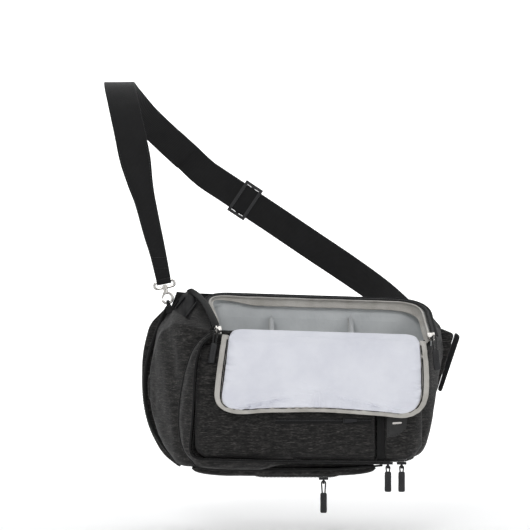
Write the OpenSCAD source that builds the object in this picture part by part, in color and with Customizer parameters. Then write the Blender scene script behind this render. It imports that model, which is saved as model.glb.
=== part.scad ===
// Sling camera bag, worn across the chest with its lid hanging open in front.
// Bag coordinates: +X along the bag, +Y towards the wearer, +Z up, y = 0 on the back pad's face,
// z = 0 just under the base.  Every part is then shifted so that the row's origin is the place
// where the strap rests on the wearer's shoulder.

/* [Bag body] */
// Thickness of the padded fabric wall of the body
wall = 4.5; // [3:0.5:6]
// Thickness of the lining inside the body
liner_t = 1.5; // [1:0.25:2]
// Width of the fabric margin kept round the opening
rim_margin = 7; // [6:0.5:9]
// Thickness of the back pad
back_pad_t = 4.8; // [3:0.2:5]

/* [Lid] */
// Swing of the open lid from its closed place, in degrees
lid_swing = 233; // [180:1:235]
// Thickness of the lid's outer panel
lid_panel_t = 2.6; // [2:0.2:4]
// Depth of the padded lining on the lid
lid_pad_t = 6; // [4:0.5:8]
// Width of the light binding round the lid
lid_band_w = 7.2; // [6:0.4:8]

/* [Strap] */
// Width of the strap over the shoulder
strap_wide_w = 38; // [34:1:42]
// Width of the strap at the hook
strap_narrow_w = 20; // [18:1:22]
// Thickness of the webbing
webbing_t = 1.8; // [1.4:0.1:2.2]

/* [Zips and pulls] */
// Diameter of the pull cords
cord_d = 1.7; // [1.6:0.1:2.2]
// Length of a moulded pull grip
grip_len = 23; // [18:1:26]
// Width of a moulded pull grip
grip_w = 8; // [6:0.5:9]
// Length of a metal zip slider
slider_len = 11; // [10:0.5:12]

/* [Dividers] */
// Thickness of a padded divider
divider_t = 6; // [4:0.5:8]

/* [Hidden] */

$fn = 32;
gap = 0.3;

// Where the strap rests on the shoulder, in bag coordinates
shoulder = [-226, 100, 490];

// Colours, as seen on the bag
heather = [0.20, 0.195, 0.19];
black = [0.06, 0.06, 0.065];
pale = [0.87, 0.87, 0.88];
band_grey = [0.80, 0.79, 0.76];
silver = [0.80, 0.80, 0.80];

// The lid's hinge line: a point in its middle, its tilt along the bag and the slope of the rim
hinge_mid = [28, -110, 176];
rim_tilt = 1.8;
rim_slope = 24;
rim_depth = 99;

// Body slices along the bag: [x, front y, bottom z, top z at the front, top z at the back]
shell_back_y = -9.4;
slices = [
    [-182, -22, 92, 124, 128],
    [-175, -38, 66, 156, 170],
    [-165, -58, 44, 178, 192],
    [-152, -78, 28, 188, 210],
    [-138, -94, 20, 188, 225],
    [-120, -103, 18, 183, 224],
    [-100, -107, 18, 181.3, 224],
    [-40, -107, 18, 179.4, 222.5],
    [40, -107, 19, 176.9, 220],
    [96, -107, 24, 175.1, 218],
    [132, -104, 30, 174, 211],
    [150, -92, 46, 173, 205],
    [161, -70, 92, 172, 197],
    [171, -38, 142, 168, 185]
];

// ---------- helpers ----------

module from_shoulder() {
    translate(-shoulder) children();
}

// The rim's own frame: X along the hinge line, Y up the slope of the opening, Z out of the bag
module on_rim() {
    from_shoulder() translate(hinge_mid) rotate([0, rim_tilt, 0]) rotate([rim_slope, 0, 0])
        children();
}

// The lid's frame, in the place where the open lid hangs
module on_lid() {
    from_shoulder() translate(hinge_mid) rotate([0, rim_tilt, 0])
        rotate([rim_slope + lid_swing, 0, 0]) children();
}

// A plate drawn in X and Z, from y0 forward to y1
module xz_plate(y0, y1) {
    translate([0, y1, 0]) rotate([90, 0, 0]) linear_extrude(y1 - y0) children();
}

// A thin slab of a Y-Z outline at x
module slab(x, outline) {
    translate([x, 0, 0]) rotate([90, 0, 90]) linear_extrude(0.02) polygon(outline);
}

module slab_chain(xs, outlines) {
    for (i = [0:len(xs) - 2])
        hull() {
            slab(xs[i], outlines[i]);
            slab(xs[i + 1], outlines[i + 1]);
        }
}

function unit(v) = v / norm(v);

// A quadratic curve from a to b that leaves towards c
function curve(a, c, b, n) = [
    for (i = [0:n])
        let (s = i / n) (1 - s) * (1 - s) * a + 2 * s * (1 - s) * c + s * s * b
];

// A closed outline with each corner [x, y, setback] rounded off; no setback takes more than
// 0.48 of an edge
function soft(corners, n = 5) = [
    for (i = [0:len(corners) - 1])
        let (
            m = len(corners),
            c = [corners[i][0], corners[i][1]],
            p = [corners[(i + m - 1) % m][0], corners[(i + m - 1) % m][1]],
            q = [corners[(i + 1) % m][0], corners[(i + 1) % m][1]],
            r = min(corners[i][2], 0.48 * norm(p - c), 0.48 * norm(q - c))
        )
            each curve(c + r * unit(p - c), c, c + r * unit(q - c), n)
];

// Points of a smooth line through the given points, n steps between each two
function smooth_line(p, n) = [
    for (i = [0:len(p) - 2])
        for (k = [0:n - 1])
            let (
                s = k / n,
                a = p[max(i - 1, 0)],
                b = p[i],
                c = p[i + 1],
                d = p[min(i + 2, len(p) - 1)]
            )
                0.5 * (2 * b + (c - a) * s + (2 * a - 5 * b + 4 * c - d) * s * s
                    + (3 * b - a - 3 * c + d) * s * s * s),
    p[len(p) - 1]
];

function tangent(p, i) = unit(p[min(i + 1, len(p) - 1)] - p[max(i - 1, 0)]);

// Side faces between rings of m points, as triangles, and the two end caps
function ring_faces(rings, m) = concat(
    [
        for (i = [0:rings - 2])
            for (j = [0:m - 1])
                for (t = [0, 1])
                    let (
                        a = i * m + j,
                        b = i * m + (j + 1) % m,
                        c = (i + 1) * m + (j + 1) % m,
                        d = (i + 1) * m + j
                    )
                        t == 0 ? [a, b, c] : [a, c, d]
    ],
    [[for (j = [m - 1:-1:0]) j]],
    [[for (j = [0:m - 1]) (rings - 1) * m + j]]
);

// A flat ribbon: path of centre points, outward normals, widths and one thickness
module ribbon(path, normals, widths, t) {
    rings = len(path);
    points = [
        for (i = [0:rings - 1])
            let (
                along = tangent(path, i),
                across = unit(cross(along, normals[i])),
                out = unit(cross(across, along)),
                w = widths[i] / 2
            )
                each [
                    path[i] - w * across - t / 2 * out,
                    path[i] - w * across + t / 2 * out,
                    path[i] + w * across + t / 2 * out,
                    path[i] + w * across - t / 2 * out
                ]
    ];
    polyhedron(points, ring_faces(rings, 4), convexity = 8);
}

// A round tube along a path; side is a direction that the path never runs along
module tube(path, d, side, sides = 8) {
    rings = len(path);
    points = [
        for (i = [0:rings - 1])
            let (
                along = tangent(path, i),
                u = unit(cross(along, side)),
                v = cross(along, u)
            )
                for (k = [0:sides - 1])
                    path[i] + d / 2 * (cos(360 * k / sides) * u + sin(360 * k / sides) * v)
    ];
    polyhedron(points, ring_faces(rings, sides), convexity = 8);
}

// ---------- body ----------

// Convex Y-Z outline of slice s, moved in by inset on every side and down by drop at the top
function body_outline(s, inset, drop) =
    let (
        y0 = s[1] + inset,
        y1 = shell_back_y - inset,
        z0 = s[2] + inset,
        deep = max(y1 - y0, 1),
        r = min(16, deep * 0.35),
        rb = min(8, deep * 0.2),
        run = (s[4] - s[3]) / (shell_back_y - s[1])
    ) concat(
        curve([y1, z0 + rb], [y1, z0], [y1 - rb, z0], 2),
        curve([y0 + r, z0], [y0, z0], [y0, z0 + r], 4),
        [
            [y0, s[3] - drop - 2 + run * inset],
            [y0 + 2, s[3] - drop + run * (inset + 2)],
            [y1, s[4] - drop - run * inset]
        ]
    );

module body_block(inset, drop, first, last) {
    slab_chain(
        [for (i = [first:last]) slices[i][0] + (i == first ? inset : i == last ? -inset : 0)],
        [for (i = [first:last]) body_outline(slices[i], inset, drop)]
    );
}

// The zip line round the opening, in the rim's frame, open on the hinge side
zip_line = soft([
    [-122.2, -30, 0.1], [126.9, -30, 0.1], [118.9, rim_depth, 34], [-134.2, rim_depth, 26]
], 6);

// The same outline grown by d, and cut off at the hinge line
module zip_outline(d, from_v = 0) {
    intersection() {
        offset(delta = d) polygon(zip_line);
        translate([-200, from_v]) square([400, 200]);
    }
}

module rim_ring(outer, inner, from_v) {
    difference() {
        zip_outline(outer, from_v);
        offset(delta = inner) polygon(zip_line);
    }
}

module opening_cut(grow, low) {
    on_rim() translate([0, 0, low]) linear_extrude(80) zip_outline(grow, 6);
}

module main_shell() color(heather) difference() {
    from_shoulder() body_block(0, 0, 0, len(slices) - 1);
    from_shoulder() body_block(wall, 4, 2, len(slices) - 1);
    opening_cut(rim_margin, -30);
    on_rim() translate([-130.4, -3.4, -3.4]) cube([10.2, 12, 10]);
    on_rim() translate([-118, -1, -1.3]) cube([236, 8, 10]);
}

module shell_liner() color(pale) difference() {
    from_shoulder() body_block(wall + 0.2, 8, 2, len(slices) - 1);
    from_shoulder() body_block(wall + 0.2 + liner_t, 0, 2, len(slices) - 1);
    on_rim() translate([-220, -20, -14]) cube([440, 160, 80]);
}

// Light binding round the inside of the opening, hanging under the zip
module rim_binding() color(band_grey) {
    on_rim() translate([0, 0, -11]) linear_extrude(9.8) rim_ring(rim_margin - 0.4, rim_margin - 2.2, 10);
}

module zip_half(grow_out, grow_in, coil_out, coil_in, from_v) {
    translate([0, 0, -0.4]) linear_extrude(0.8) rim_ring(grow_out, grow_in, from_v);
    translate([0, 0, -1.2]) linear_extrude(2.4) rim_ring(coil_out, coil_in, from_v);
}

module body_zip_tape() color(black) {
    on_rim() zip_half(rim_margin - 0.4, 1.4, 3, 1.4, 6.5);
}

back_outline = [
    [-150, 214, 14], [-132, 224, 10], [150, 212, 30], [168, 186, 12], [166, 132, 20],
    [155, 76, 20], [136, 26, 20], [80, 17, 20], [-130, 14, 24], [-152, 34, 12]
];
pad_outline = [
    [-140, 208, 18], [142, 202, 26], [156, 172, 14], [153, 118, 22], [126, 34, 20],
    [-126, 24, 18], [-142, 44, 14]
];

module back_panel() color(black) {
    from_shoulder() xz_plate(-9.1, -back_pad_t - 0.2) polygon(soft(back_outline));
}

module back_pad() color([0.13, 0.13, 0.135]) {
    from_shoulder() xz_plate(-back_pad_t, 0) polygon(soft(pad_outline));
}

// ---------- wings ----------

left_wing_outline = [
    [-152.5, 36, 6], [-152.5, 209, 5], [-164, 205, 8], [-183, 186, 10], [-192, 150, 18],
    [-192.5, 100, 20], [-185, 60, 18], [-167, 27, 12], [-146, 11, 5], [-143, 15, 2], [-152, 26, 3]
];

module left_wing() color(heather) {
    from_shoulder() xz_plate(-8.8, -2.6) polygon(soft(left_wing_outline));
}

left_binding_path = [
    [-160.5, -12, 207.5], [-165, -12, 199], [-176, -12, 171], [-184, -12, 146], [-188, -12, 123],
    [-188, -12, 98], [-184, -12, 74], [-176, -12, 54], [-165, -12, 37], [-150, -12, 20]
];

module left_wing_binding() color(black) {
    from_shoulder() tube(smooth_line(left_binding_path, 2), 3, [0, 1, 0]);
}

module right_wing() color(heather) {
    from_shoulder() xz_plate(-8.8, -2.6)
        polygon(soft([
            [170, 182, 5], [189, 174, 4], [167.2, 102, 3], [161.8, 102, 2], [167.4, 132, 2], [168.6, 160, 2]
        ]));
}

// Webbing bar sewn along the right wing's outer edge, where the strap starts
module right_wing_binding() color(black) {
    from_shoulder() xz_plate(-9.2, -1.6)
        polygon(soft([[190, 176, 2], [196.5, 171.5, 3], [173.5, 103, 3], [168.5, 105, 2]]));
}

// Smooth nylon patch sewn over the top left corner, which carries the hook's webbing loop
module corner_patch() color(black) {
    from_shoulder() intersection() {
        difference() {
            body_block(-1.6, -1.6, 0, len(slices) - 1);
            body_block(-0.3, -0.3, 0, len(slices) - 1);
            translate([-300, shell_back_y, 0]) cube([600, 50, 400]);
        }
        translate([-159, -46, 184]) rotate([0, 14, 0]) cube([26, 60, 60]);
    }
}

// Swivel hook axis: its top at the webbing's end, leaning with the strap
hook_top = [-165, -16, 238];
hook_lean = 11.6;
jaw_r = 6.4;
jaw_z = -20.6;
wire = 1.6;
module at_hook() {
    from_shoulder() translate(hook_top) rotate([0, -hook_lean, 0]) children();
}

loop_in = 4.6;
loop_w = 4.4;
loop_z = jaw_z - sqrt(pow(jaw_r - wire, 2) - pow(loop_w / 2, 2)) + 0.3 - loop_in;

// Short webbing loop on the bag's corner that the hook holds
module hook_loop_webbing() color(black) at_hook() {
    translate([-loop_w / 2, 0, loop_z]) rotate([90, 0, 90]) linear_extrude(loop_w) {
        difference() {
            circle(loop_in + 1.5);
            circle(loop_in);
            translate([-10, -20]) square([20, 20]);
        }
        for (side = [-1, 1])
            translate([side > 0 ? loop_in : -loop_in - 1.5, -5.5]) square([1.5, 5.52]);
    }
}

// ---------- front pocket ----------

// Slices of the front pocket: [x, front y, bottom z, top z]; its back lies on the body's front
pocket_slices = [
    [-124, -110, 46, 150],
    [-121, -115, 38, 158],
    [-112, -120, 32, 164],
    [-40, -123, 31, 166],
    [60, -123, 30, 164],
    [84, -122, 30, 162],
    [88, -118, 31, 160]
];

function pocket_outline(s, inset) =
    let (y0 = s[1] + inset, y1 = -107.2 + (inset > 0 ? 1 : 0), z0 = s[2] + inset, z1 = s[3] - inset)
        concat(
            [[y1, z0 + 1]],
            curve([y0 + 5, z0], [y0, z0], [y0, z0 + 12], 3),
            curve([y0, 92], [(y0 - 114) / 2 - inset / 2, 118], [-108.6 + inset, z1 - 3], 4),
            [[y1, z1]]
        );

module front_pocket() color(heather) from_shoulder() difference() {
    slab_chain([for (s = pocket_slices) s[0]], [for (s = pocket_slices) pocket_outline(s, 0)]);
    slab_chain(
        [-119, -110, -40, 60, 82, 85],
        [for (i = [1:6]) pocket_outline(pocket_slices[i], 2.4)]
    );
    translate([-30, -140, 74]) cube([112, 30, 6]);
}

// The long zip of the front pocket, set in its slot
module pocket_zip() color(black) from_shoulder() {
    translate([-29.7, -121.8, 74.3]) cube([111.4, 1.2, 2]);
    translate([-29.7, -121.8, 77.7]) cube([111.4, 1.2, 2]);
    translate([-29.7, -122.6, 76.4]) cube([111.4, 2, 1.2]);
}

// Rain flap above the pocket's zip
module pocket_flap() color(heather) from_shoulder() {
    xz_plate(-125.2, -123.3) polygon(soft([[-32, 79.6, 2], [84, 79.6, 2], [84, 86, 2], [-32, 86, 2]]));
}

piping_front_path = [
    [-104, -111, 174], [-114, -116, 168], [-121, -119, 152], [-124.5, -120, 128],
    [-125, -121, 100], [-126, -120, 72], [-127, -118, 52], [-122, -117, 37], [-108, -122, 31],
    [-40, -125, 29], [60, -125, 28]
];
piping_rear_path = [
    [-107, -108, 178], [-122, -106, 165], [-132, -102, 145], [-139, -99, 118],
    [-143, -97, 90], [-143, -98, 62], [-138, -100, 42], [-128, -104, 28], [-112, -108.4, 19],
    [-40, -109.6, 17], [34, -109.6, 17]
];

module pocket_piping_front() color(black) {
    from_shoulder() tube(smooth_line(piping_front_path, 2), 2, [0, 1, 0.1]);
}

module pocket_piping_rear() color(black) {
    from_shoulder() tube(smooth_line(piping_rear_path, 2), 2, [0, 1, 0.1]);
}

// ---------- end pocket at the right ----------

// Slices of the end pocket: [x, front y, bottom z, top z, back y]
end_slices = [
    [98, -121, 29, 156, -107.2],
    [102, -122, 28.5, 158, -107.2],
    [124, -119, 30, 158, -107.2],
    [134, -114, 34, 156, -104],
    [142, -109, 44, 150, -98.6]
];

function end_outline(s) =
    let (y1 = s[4])
        concat(
            [[y1, s[2]]],
            curve([s[1] + 4, s[2]], [s[1], s[2]], [s[1], s[2] + 9], 2),
            [[s[1], 88], [s[1] + 5, 118], [min(s[1] + 12.5, y1 - 0.6), s[3] - 3], [y1, s[3]]]
        );

module end_pocket() color(heather) from_shoulder() {
    slab_chain([for (s = end_slices) s[0]], [for (s = end_slices) end_outline(s)]);
}

module end_pocket_patch() color([0.10, 0.10, 0.10]) from_shoulder() {
    translate([111, -121.6, 71]) rotate([0, 0, 6.5])
        xz_plate(-1, 0) polygon(soft([[-11, 14, 2], [13, 14, 2], [13, -3, 2], [-2, -14, 2], [-11, -14, 2]]));
}

// Small plain metal bar on the patch
module patch_bar() color(silver) from_shoulder() {
    translate([112, -122.8, 73.5]) rotate([0, 0, 6.5])
        xz_plate(-0.8, 0) polygon(soft([[-5.5, 1.1, 1], [5.5, 1.5, 1], [5.5, -0.4, 1], [-5.5, -1.4, 1]]));
}

// ---------- base pocket ----------

module base_pocket() color(heather) from_shoulder() hull() {
    translate([-112, -94, 10]) cylinder(r = 8, h = 7.5);
    translate([-112, -26, 9]) cylinder(r = 8, h = 8.5);
    translate([58, -98, 12]) cylinder(r = 8, h = 5.5);
    translate([58, -26, 10]) cylinder(r = 8, h = 7.5);
    translate([-16, -97, 9]) cylinder(r = 9, h = 8.5);
    translate([34, -97, 9]) cylinder(r = 9, h = 8.5);
}

// ---------- zips of the base and of the lower front edge ----------

// A straight zip along X: two tapes and a coil, on the surface z = 0, facing down
module straight_zip(length) {
    translate([0, -5, -0.8]) cube([length, 10, 0.7]);
    translate([0, -1.4, -2]) cube([length, 2.8, 1.2]);
}

base_zip_at = [-60, -98, 8.9];
lower_zip_at = [-10, -112.4, 28.2];

module base_zip() color(black) {
    from_shoulder() translate(base_zip_at) straight_zip(110);
}

module lower_zip() color(black) {
    from_shoulder() translate(lower_zip_at) straight_zip(142);
}

// ---------- sliders ----------

// Slider at its own middle: X is the way it travels, Z is away from the bag
module zip_slider(width = 8) {
    half = slider_len / 2;
    for (side = [-1, 1])
        translate([-half, -width / 2, side > 0 ? 1.7 : -2.7]) cube([slider_len, width, 1]);
    translate([half - 2.4, -0.6, -1.7]) cube([1.8, 1.2, 3.4]);
}

// Staple on a slider that holds the pull; its hole runs along X
module crown() {
    translate([-0.9, -3.1, 2.7]) cube([1.8, 1.2, 3.6]);
    translate([-0.9, 1.9, 2.7]) cube([1.8, 1.2, 3.6]);
    translate([-0.9, -3.1, 6.3]) cube([1.8, 6.2, 1.2]);
}

// One-sided slider for the straight zips that lie on a surface
module surface_slider() {
    half = slider_len / 2;
    translate([-half, -4, -3.6]) cube([slider_len, 8, 1.2]);
    for (side = [-1, 1])
        translate([-half, side > 0 ? 2.8 : -4, -2.4]) cube([slider_len, 1.2, 1.2]);
}

// Staple under a surface slider, with its hole along X
module surface_crown() {
    for (side = [-1, 1])
        translate([-1.2, side > 0 ? 1.9 : -3.1, -7.2]) cube([2.4, 1.2, 3.6]);
    translate([-1.2, -3.1, -8.4]) cube([2.4, 6.2, 1.2]);
}

// Cord hairpin through a crown, hanging down drop mm from the pivot; legs side by side in X
module cord_hairpin(drop, spread = 2.6) {
    tube([
        for (i = [0:8])
            let (a = 180 * i / 8)
                i == 0 ? [spread, 0, -drop] : i == 8 ? [-spread, 0, -drop]
                : [spread * cos(a), 0, (spread + 0.2) * sin(a) - spread]
    ], cord_d, [0, 1, 0]);
}

// Moulded grip below the hairpin: a rounded flat tube with a row of dimples
module pull_grip(drop) {
    translate([0, 0, -drop - 0.2]) difference() {
        hull() {
            translate([-grip_w / 2 + 2.4, 0, -grip_len]) cylinder(d = 4.8, h = grip_len, $fn = 24);
            translate([grip_w / 2 - 2.4, 0, -grip_len]) cylinder(d = 4.8, h = grip_len, $fn = 24);
        }
        for (k = [0:3])
            translate([0, 0, -6 - 4 * k]) rotate([90, 0, 0])
                cylinder(d = 2, h = 10, center = true, $fn = 20);
    }
}

// Places of the sliders.  The two lid sliders park beside the hinge line.
left_park = [-125.4, 4, 0];
left_run_turn = 95.3;
right_park = [124.8, 4, 0];
right_run_turn = 93.55;
crown_back = 6.6;
crown_side = 2.2;
crown_hole_z = 4.5;

// Slider of the lid's zip with its crown on a tongue, clear of the hanging cord
module lid_slider(side) {
    zip_slider();
    translate([-crown_back - 3, side * crown_side - 0.7, 1.7]) cube([6, 1.4, 1]);
    translate([-crown_back, side * crown_side, 0]) rotate([0, 0, 90]) crown();
}

module left_slider() color(silver) {
    on_rim() translate(left_park) rotate([0, 0, left_run_turn]) lid_slider(1);
}

module right_slider() color(silver) {
    on_rim() translate(right_park) rotate([0, 0, right_run_turn]) lid_slider(-1);
}

// Pivots of the hanging pulls, in bag coordinates
left_pivot = [-98.7, -114.4, 183.1];
right_pivot = [155.5, -114.2, 175];
lower_left_pivot = [102, -112.4, 22.6];
lower_right_pivot = [118, -112.4, 22.6];
base_pivot = [27, -98, 3.3];
pull_drop = 17;

// The lid's pulls lean away from the lid's edge
module at_left_pull() {
    from_shoulder() translate(left_pivot) rotate([-4, 9, 0]) children();
}

module at_right_pull() {
    from_shoulder() translate(right_pivot) rotate([-2, -6, 0]) children();
}

module left_pull_cord() color(black) at_left_pull() cord_hairpin(pull_drop);
module left_pull_grip() color(black) at_left_pull() pull_grip(pull_drop);
module right_pull_cord() color(black) at_right_pull() cord_hairpin(pull_drop);
module right_pull_grip() color(black) at_right_pull() pull_grip(pull_drop);
module lower_left_cord() color(black) from_shoulder() translate(lower_left_pivot) cord_hairpin(7);
module lower_left_grip() color(black) from_shoulder() translate(lower_left_pivot) pull_grip(7);
module lower_right_cord() color(black) from_shoulder() translate(lower_right_pivot) cord_hairpin(7);
module lower_right_grip() color(black) from_shoulder() translate(lower_right_pivot) pull_grip(7);
module base_pull_cord() color(black) from_shoulder() translate(base_pivot) cord_hairpin(14);
module base_pull_grip() color(black) from_shoulder() translate(base_pivot) pull_grip(14);

module lower_slider_left() color(silver) from_shoulder()
    translate([lower_left_pivot[0], lower_zip_at[1], lower_zip_at[2]]) {
        surface_slider();
        surface_crown();
    }

module lower_slider_right() color(silver) from_shoulder()
    translate([lower_right_pivot[0], lower_zip_at[1], lower_zip_at[2]]) {
        surface_slider();
        surface_crown();
    }

module base_slider() color(silver) from_shoulder()
    translate([base_pivot[0], base_zip_at[1], base_zip_at[2]]) {
        surface_slider();
        surface_crown();
    }

pocket_slider_at = [55, -122.7, 77];

module pocket_slider() color(black) from_shoulder() translate(pocket_slider_at) {
    difference() {
        translate([-5.5, -1.8, -3]) cube([11, 1.6, 5.2]);
        translate([-6, -0.8, -0.9]) cube([12, 2, 1.8]);
    }
    translate([-5.5, -4.2, -2]) cube([1.2, 2.4, 4]);
}

// Flat pull tab of the pocket slider, lying along the zip
module pocket_slider_tab() color(black) from_shoulder() translate(pocket_slider_at)
    translate([-3.6, -4, -1.8]) cube([13.6, 1.4, 3.6]);

// ---------- lid ----------

module lid_panel() color(heather) on_lid() {
    translate([0, 0, 0.9]) linear_extrude(lid_panel_t) zip_outline(-7, 12);
}

module lid_zip_tape() color(black) on_lid() {
    zip_half(-1.4, -9, -1.4, -3, 12);
}

module lid_band() color(band_grey) on_lid() {
    translate([0, 0, -2.6]) linear_extrude(1.2) rim_ring(-4.4, -4.4 - lid_band_w, 12);
}

module lid_lining() color(pale) on_lid() {
    translate([0, 0, -lid_pad_t]) linear_extrude(lid_pad_t + 0.6) zip_outline(-4.8 - lid_band_w, 12);
}

module lid_hinge_strip() color(heather) on_lid() {
    translate([-116, 1.2, -0.6]) cube([232, 10.5, 1.4]);
}

// ---------- strap ----------

front_points = [
    [-165.6, -16, 241], [-172, -15.5, 271], [-179, -13, 298], [-188, -9, 335], [-194, -5, 357],
    [-201, 1, 388], [-209, 10, 424], [-217, 28, 457], [-224, 60, 482], [-226, 101, 489],
    [-220, 142, 479], [-200, 176, 452], [-168, 198.4, 421], [-145, 207.6, 400]
];
front_normals = [
    [0, -1, 0], [0, -1, 0], [0, -1, 0], [0, -1, 0.05], [0, -1, 0.1], [0, -1, 0.15],
    [-0.1, -0.9, 0.35], [-0.1, -0.7, 0.7], [-0.05, -0.25, 0.95], [0, 0.05, 1],
    [-0.05, 0.5, 0.85], [-0.15, 0.85, 0.5], [-0.1, 0.97, 0.25], [-0.1, 0.97, 0.2]
];
// The strap is folded narrow at the hook and opens to its full width over the chest
front_widths = [
    strap_narrow_w - 2, strap_narrow_w, strap_narrow_w + 3, strap_narrow_w + 6,
    (strap_narrow_w + strap_wide_w) / 2 + 2, strap_wide_w, strap_wide_w, strap_wide_w,
    strap_wide_w, strap_wide_w, strap_wide_w, strap_wide_w, strap_wide_w, strap_wide_w
];
back_points = [
    [-168, 201.6, 421.6], [-144, 210.8, 400], [-120, 216, 378], [-90, 216, 358], [-60, 216, 338], [-30, 216, 318],
    [20, 208, 284], [70, 188, 250], [116, 152, 216], [152, 104, 182], [171, 62, 158],
    [180, 28, 145], [183, 0.2, 140]
];
back_normals = [
    [-0.1, 0.97, 0.25], [-0.1, 0.97, 0.2], [0, 1, 0], [0, 1, 0], [0, 1, 0], [0, 1, 0], [0.15, 1, 0],
    [0.4, 0.9, 0], [0.72, 0.7, 0], [0.9, 0.4, 0], [0.97, 0.2, -0.1], [1, 0.1, -0.3],
    [1, 0, -0.38]
];

module strap_front() color(black) from_shoulder()
    ribbon(smooth_line(front_points, 3), smooth_line(front_normals, 3),
        smooth_line(front_widths, 3), webbing_t);

module strap_back() color(black) from_shoulder()
    ribbon(smooth_line(back_points, 3), smooth_line(back_normals, 3),
        [for (i = [0:3 * (len(back_points) - 1)]) strap_wide_w], webbing_t);

// Direction and middle of the strap's straight run, where the adjuster slides
run_mid = [-75, 216, 348];
run_turn = atan2(20, 30);

module on_run() {
    from_shoulder() translate(run_mid) rotate([0, run_turn, 0]) children();
}

// Doubled end of the strap behind the straight run; X runs along the strap
module strap_tail() color(black) on_run() {
    translate([-50, 3.6, -strap_wide_w / 2]) cube([92, webbing_t, strap_wide_w]);
    translate([-54, 1.1, -strap_wide_w / 2]) cube([4.01, webbing_t + 2.5, strap_wide_w]);
}

// Three-bar adjuster: a frame round both layers with its middle bar between them
module strap_adjuster() color(black) on_run() translate([8, 0, 0]) {
    height = strap_wide_w + 1.2;
    for (side = [-1, 1])
        translate([-13, -2.4, side > 0 ? height / 2 : -height / 2 - 4]) cube([26, 10.4, 4]);
    translate([-2.5, 1.3, -height / 2 - 0.01]) cube([5, 1.8, height + 0.02]);
    for (side = [-1, 1])
        translate([side > 0 ? 9 : -13, 5.9, -height / 2 - 0.01]) cube([4, 2.1, height + 0.02]);
    for (side = [-1, 1])
        translate([side > 0 ? 9 : -13, -2.4, -height / 2 - 0.01]) cube([4, 1.2, height + 0.02]);
}

// ---------- swivel hook ----------

eye_w = 25;
eye_h = 7.6;
fold_w = 17;

// Webbing folded round the eye's top bar and sewn back on the strap
module strap_hook_fold() color(black) at_hook() difference() {
    rotate([0, 90, 0]) cylinder(r = wire + 2, h = fold_w, center = true);
    rotate([0, 90, 0]) cylinder(r = wire + 0.05, h = strap_narrow_w, center = true);
    translate([-20, -1.2, 2.2]) cube([40, 2.4, 4]);
}

// Half a ring of round wire in the X-Z plane, on the +X side
module wire_bend(r) {
    rotate([90, 0, 0]) rotate([0, 0, -90]) rotate_extrude(angle = 180)
        translate([r, 0]) circle(wire);
}

// Oval eye on the strap, with a collar at its foot that the hook turns in
module swivel_eye() color(silver) at_hook() difference() {
    union() {
        for (z = [0, -eye_h])
            translate([0, 0, z]) rotate([0, 90, 0]) cylinder(r = wire, h = eye_w - eye_h, center = true);
        translate([(eye_w - eye_h) / 2, 0, -eye_h / 2]) wire_bend(eye_h / 2);
        translate([-(eye_w - eye_h) / 2, 0, -eye_h / 2]) rotate([0, 0, 180]) wire_bend(eye_h / 2);
        translate([0, 0, -eye_h - 2.4]) cylinder(r = 3.4, h = 4.6);
    }
    translate([0, 0, -eye_h - 3]) cylinder(r = 1.85, h = 6);
}

// Angles of the jaw's bend, from +X towards +Z
jaw_from = -168;
jaw_to = 112;

module snap_hook() color(silver) at_hook() difference() {
    union() {
        translate([0, 0, -eye_h - 3]) cylinder(r = 1.8, h = 5.6);
        translate([0, 0, -eye_h + 2.5]) cylinder(r = 2.8, h = 1.2);
        translate([0, 0, jaw_z + jaw_r - 0.6]) cylinder(r = 2.8, h = -eye_h - 2.7 - jaw_z - jaw_r + 0.6);
        translate([0, 0, jaw_z]) rotate([90, 0, 0]) rotate([0, 0, jaw_from])
            rotate_extrude(angle = jaw_to - jaw_from) translate([jaw_r, 0]) circle(wire);
        translate([jaw_r * cos(jaw_to), 0, jaw_z + jaw_r * sin(jaw_to)]) rotate([90, 0, 0])
            cylinder(r = 1.9, h = 4.4, center = true);
    }
    translate([jaw_r * cos(jaw_to), 0, jaw_z + jaw_r * sin(jaw_to)]) rotate([90, 0, 0])
        cylinder(r = 0.62, h = 6, center = true);
    translate([jaw_r * cos(jaw_to) - 6, -0.95, jaw_z + jaw_r * sin(jaw_to) - 8])
        cube([7.9, 1.9, 9.9]);
}

gate_x = jaw_r * cos(jaw_to);
gate_z = jaw_z + jaw_r * sin(jaw_to);
gate_tip = [jaw_r * cos(jaw_from), jaw_z + jaw_r * sin(jaw_from)];

module gate_pin() color(silver) at_hook() {
    translate([gate_x, 0, gate_z]) rotate([90, 0, 0]) cylinder(r = 0.6, h = 5, center = true);
}

// Sprung gate that closes the jaw; it turns on its pin
module hook_gate() color(silver) at_hook() difference() {
    translate([0, 0.8, 0]) rotate([90, 0, 0]) linear_extrude(1.6) hull() {
        translate([gate_x, gate_z]) circle(1.5);
        translate([gate_tip[0], gate_tip[1] + 2.4]) circle(0.9);
    }
    translate([gate_x, 0, gate_z]) rotate([90, 0, 0]) cylinder(r = 0.65, h = 6, center = true);
}

// ---------- dividers ----------

module divider(x) {
    translate([x - divider_t / 2, 0, 0]) rotate([90, 0, 90]) linear_extrude(divider_t)
        polygon(soft([[-18, 32, 5], [-18, 199, 5], [-97, 164, 5], [-97, 32, 16]]));
}

module divider_left() color(pale) from_shoulder() divider(-34);
module divider_right() color(pale) from_shoulder() divider(62);

// ---------- the parts ----------

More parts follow.
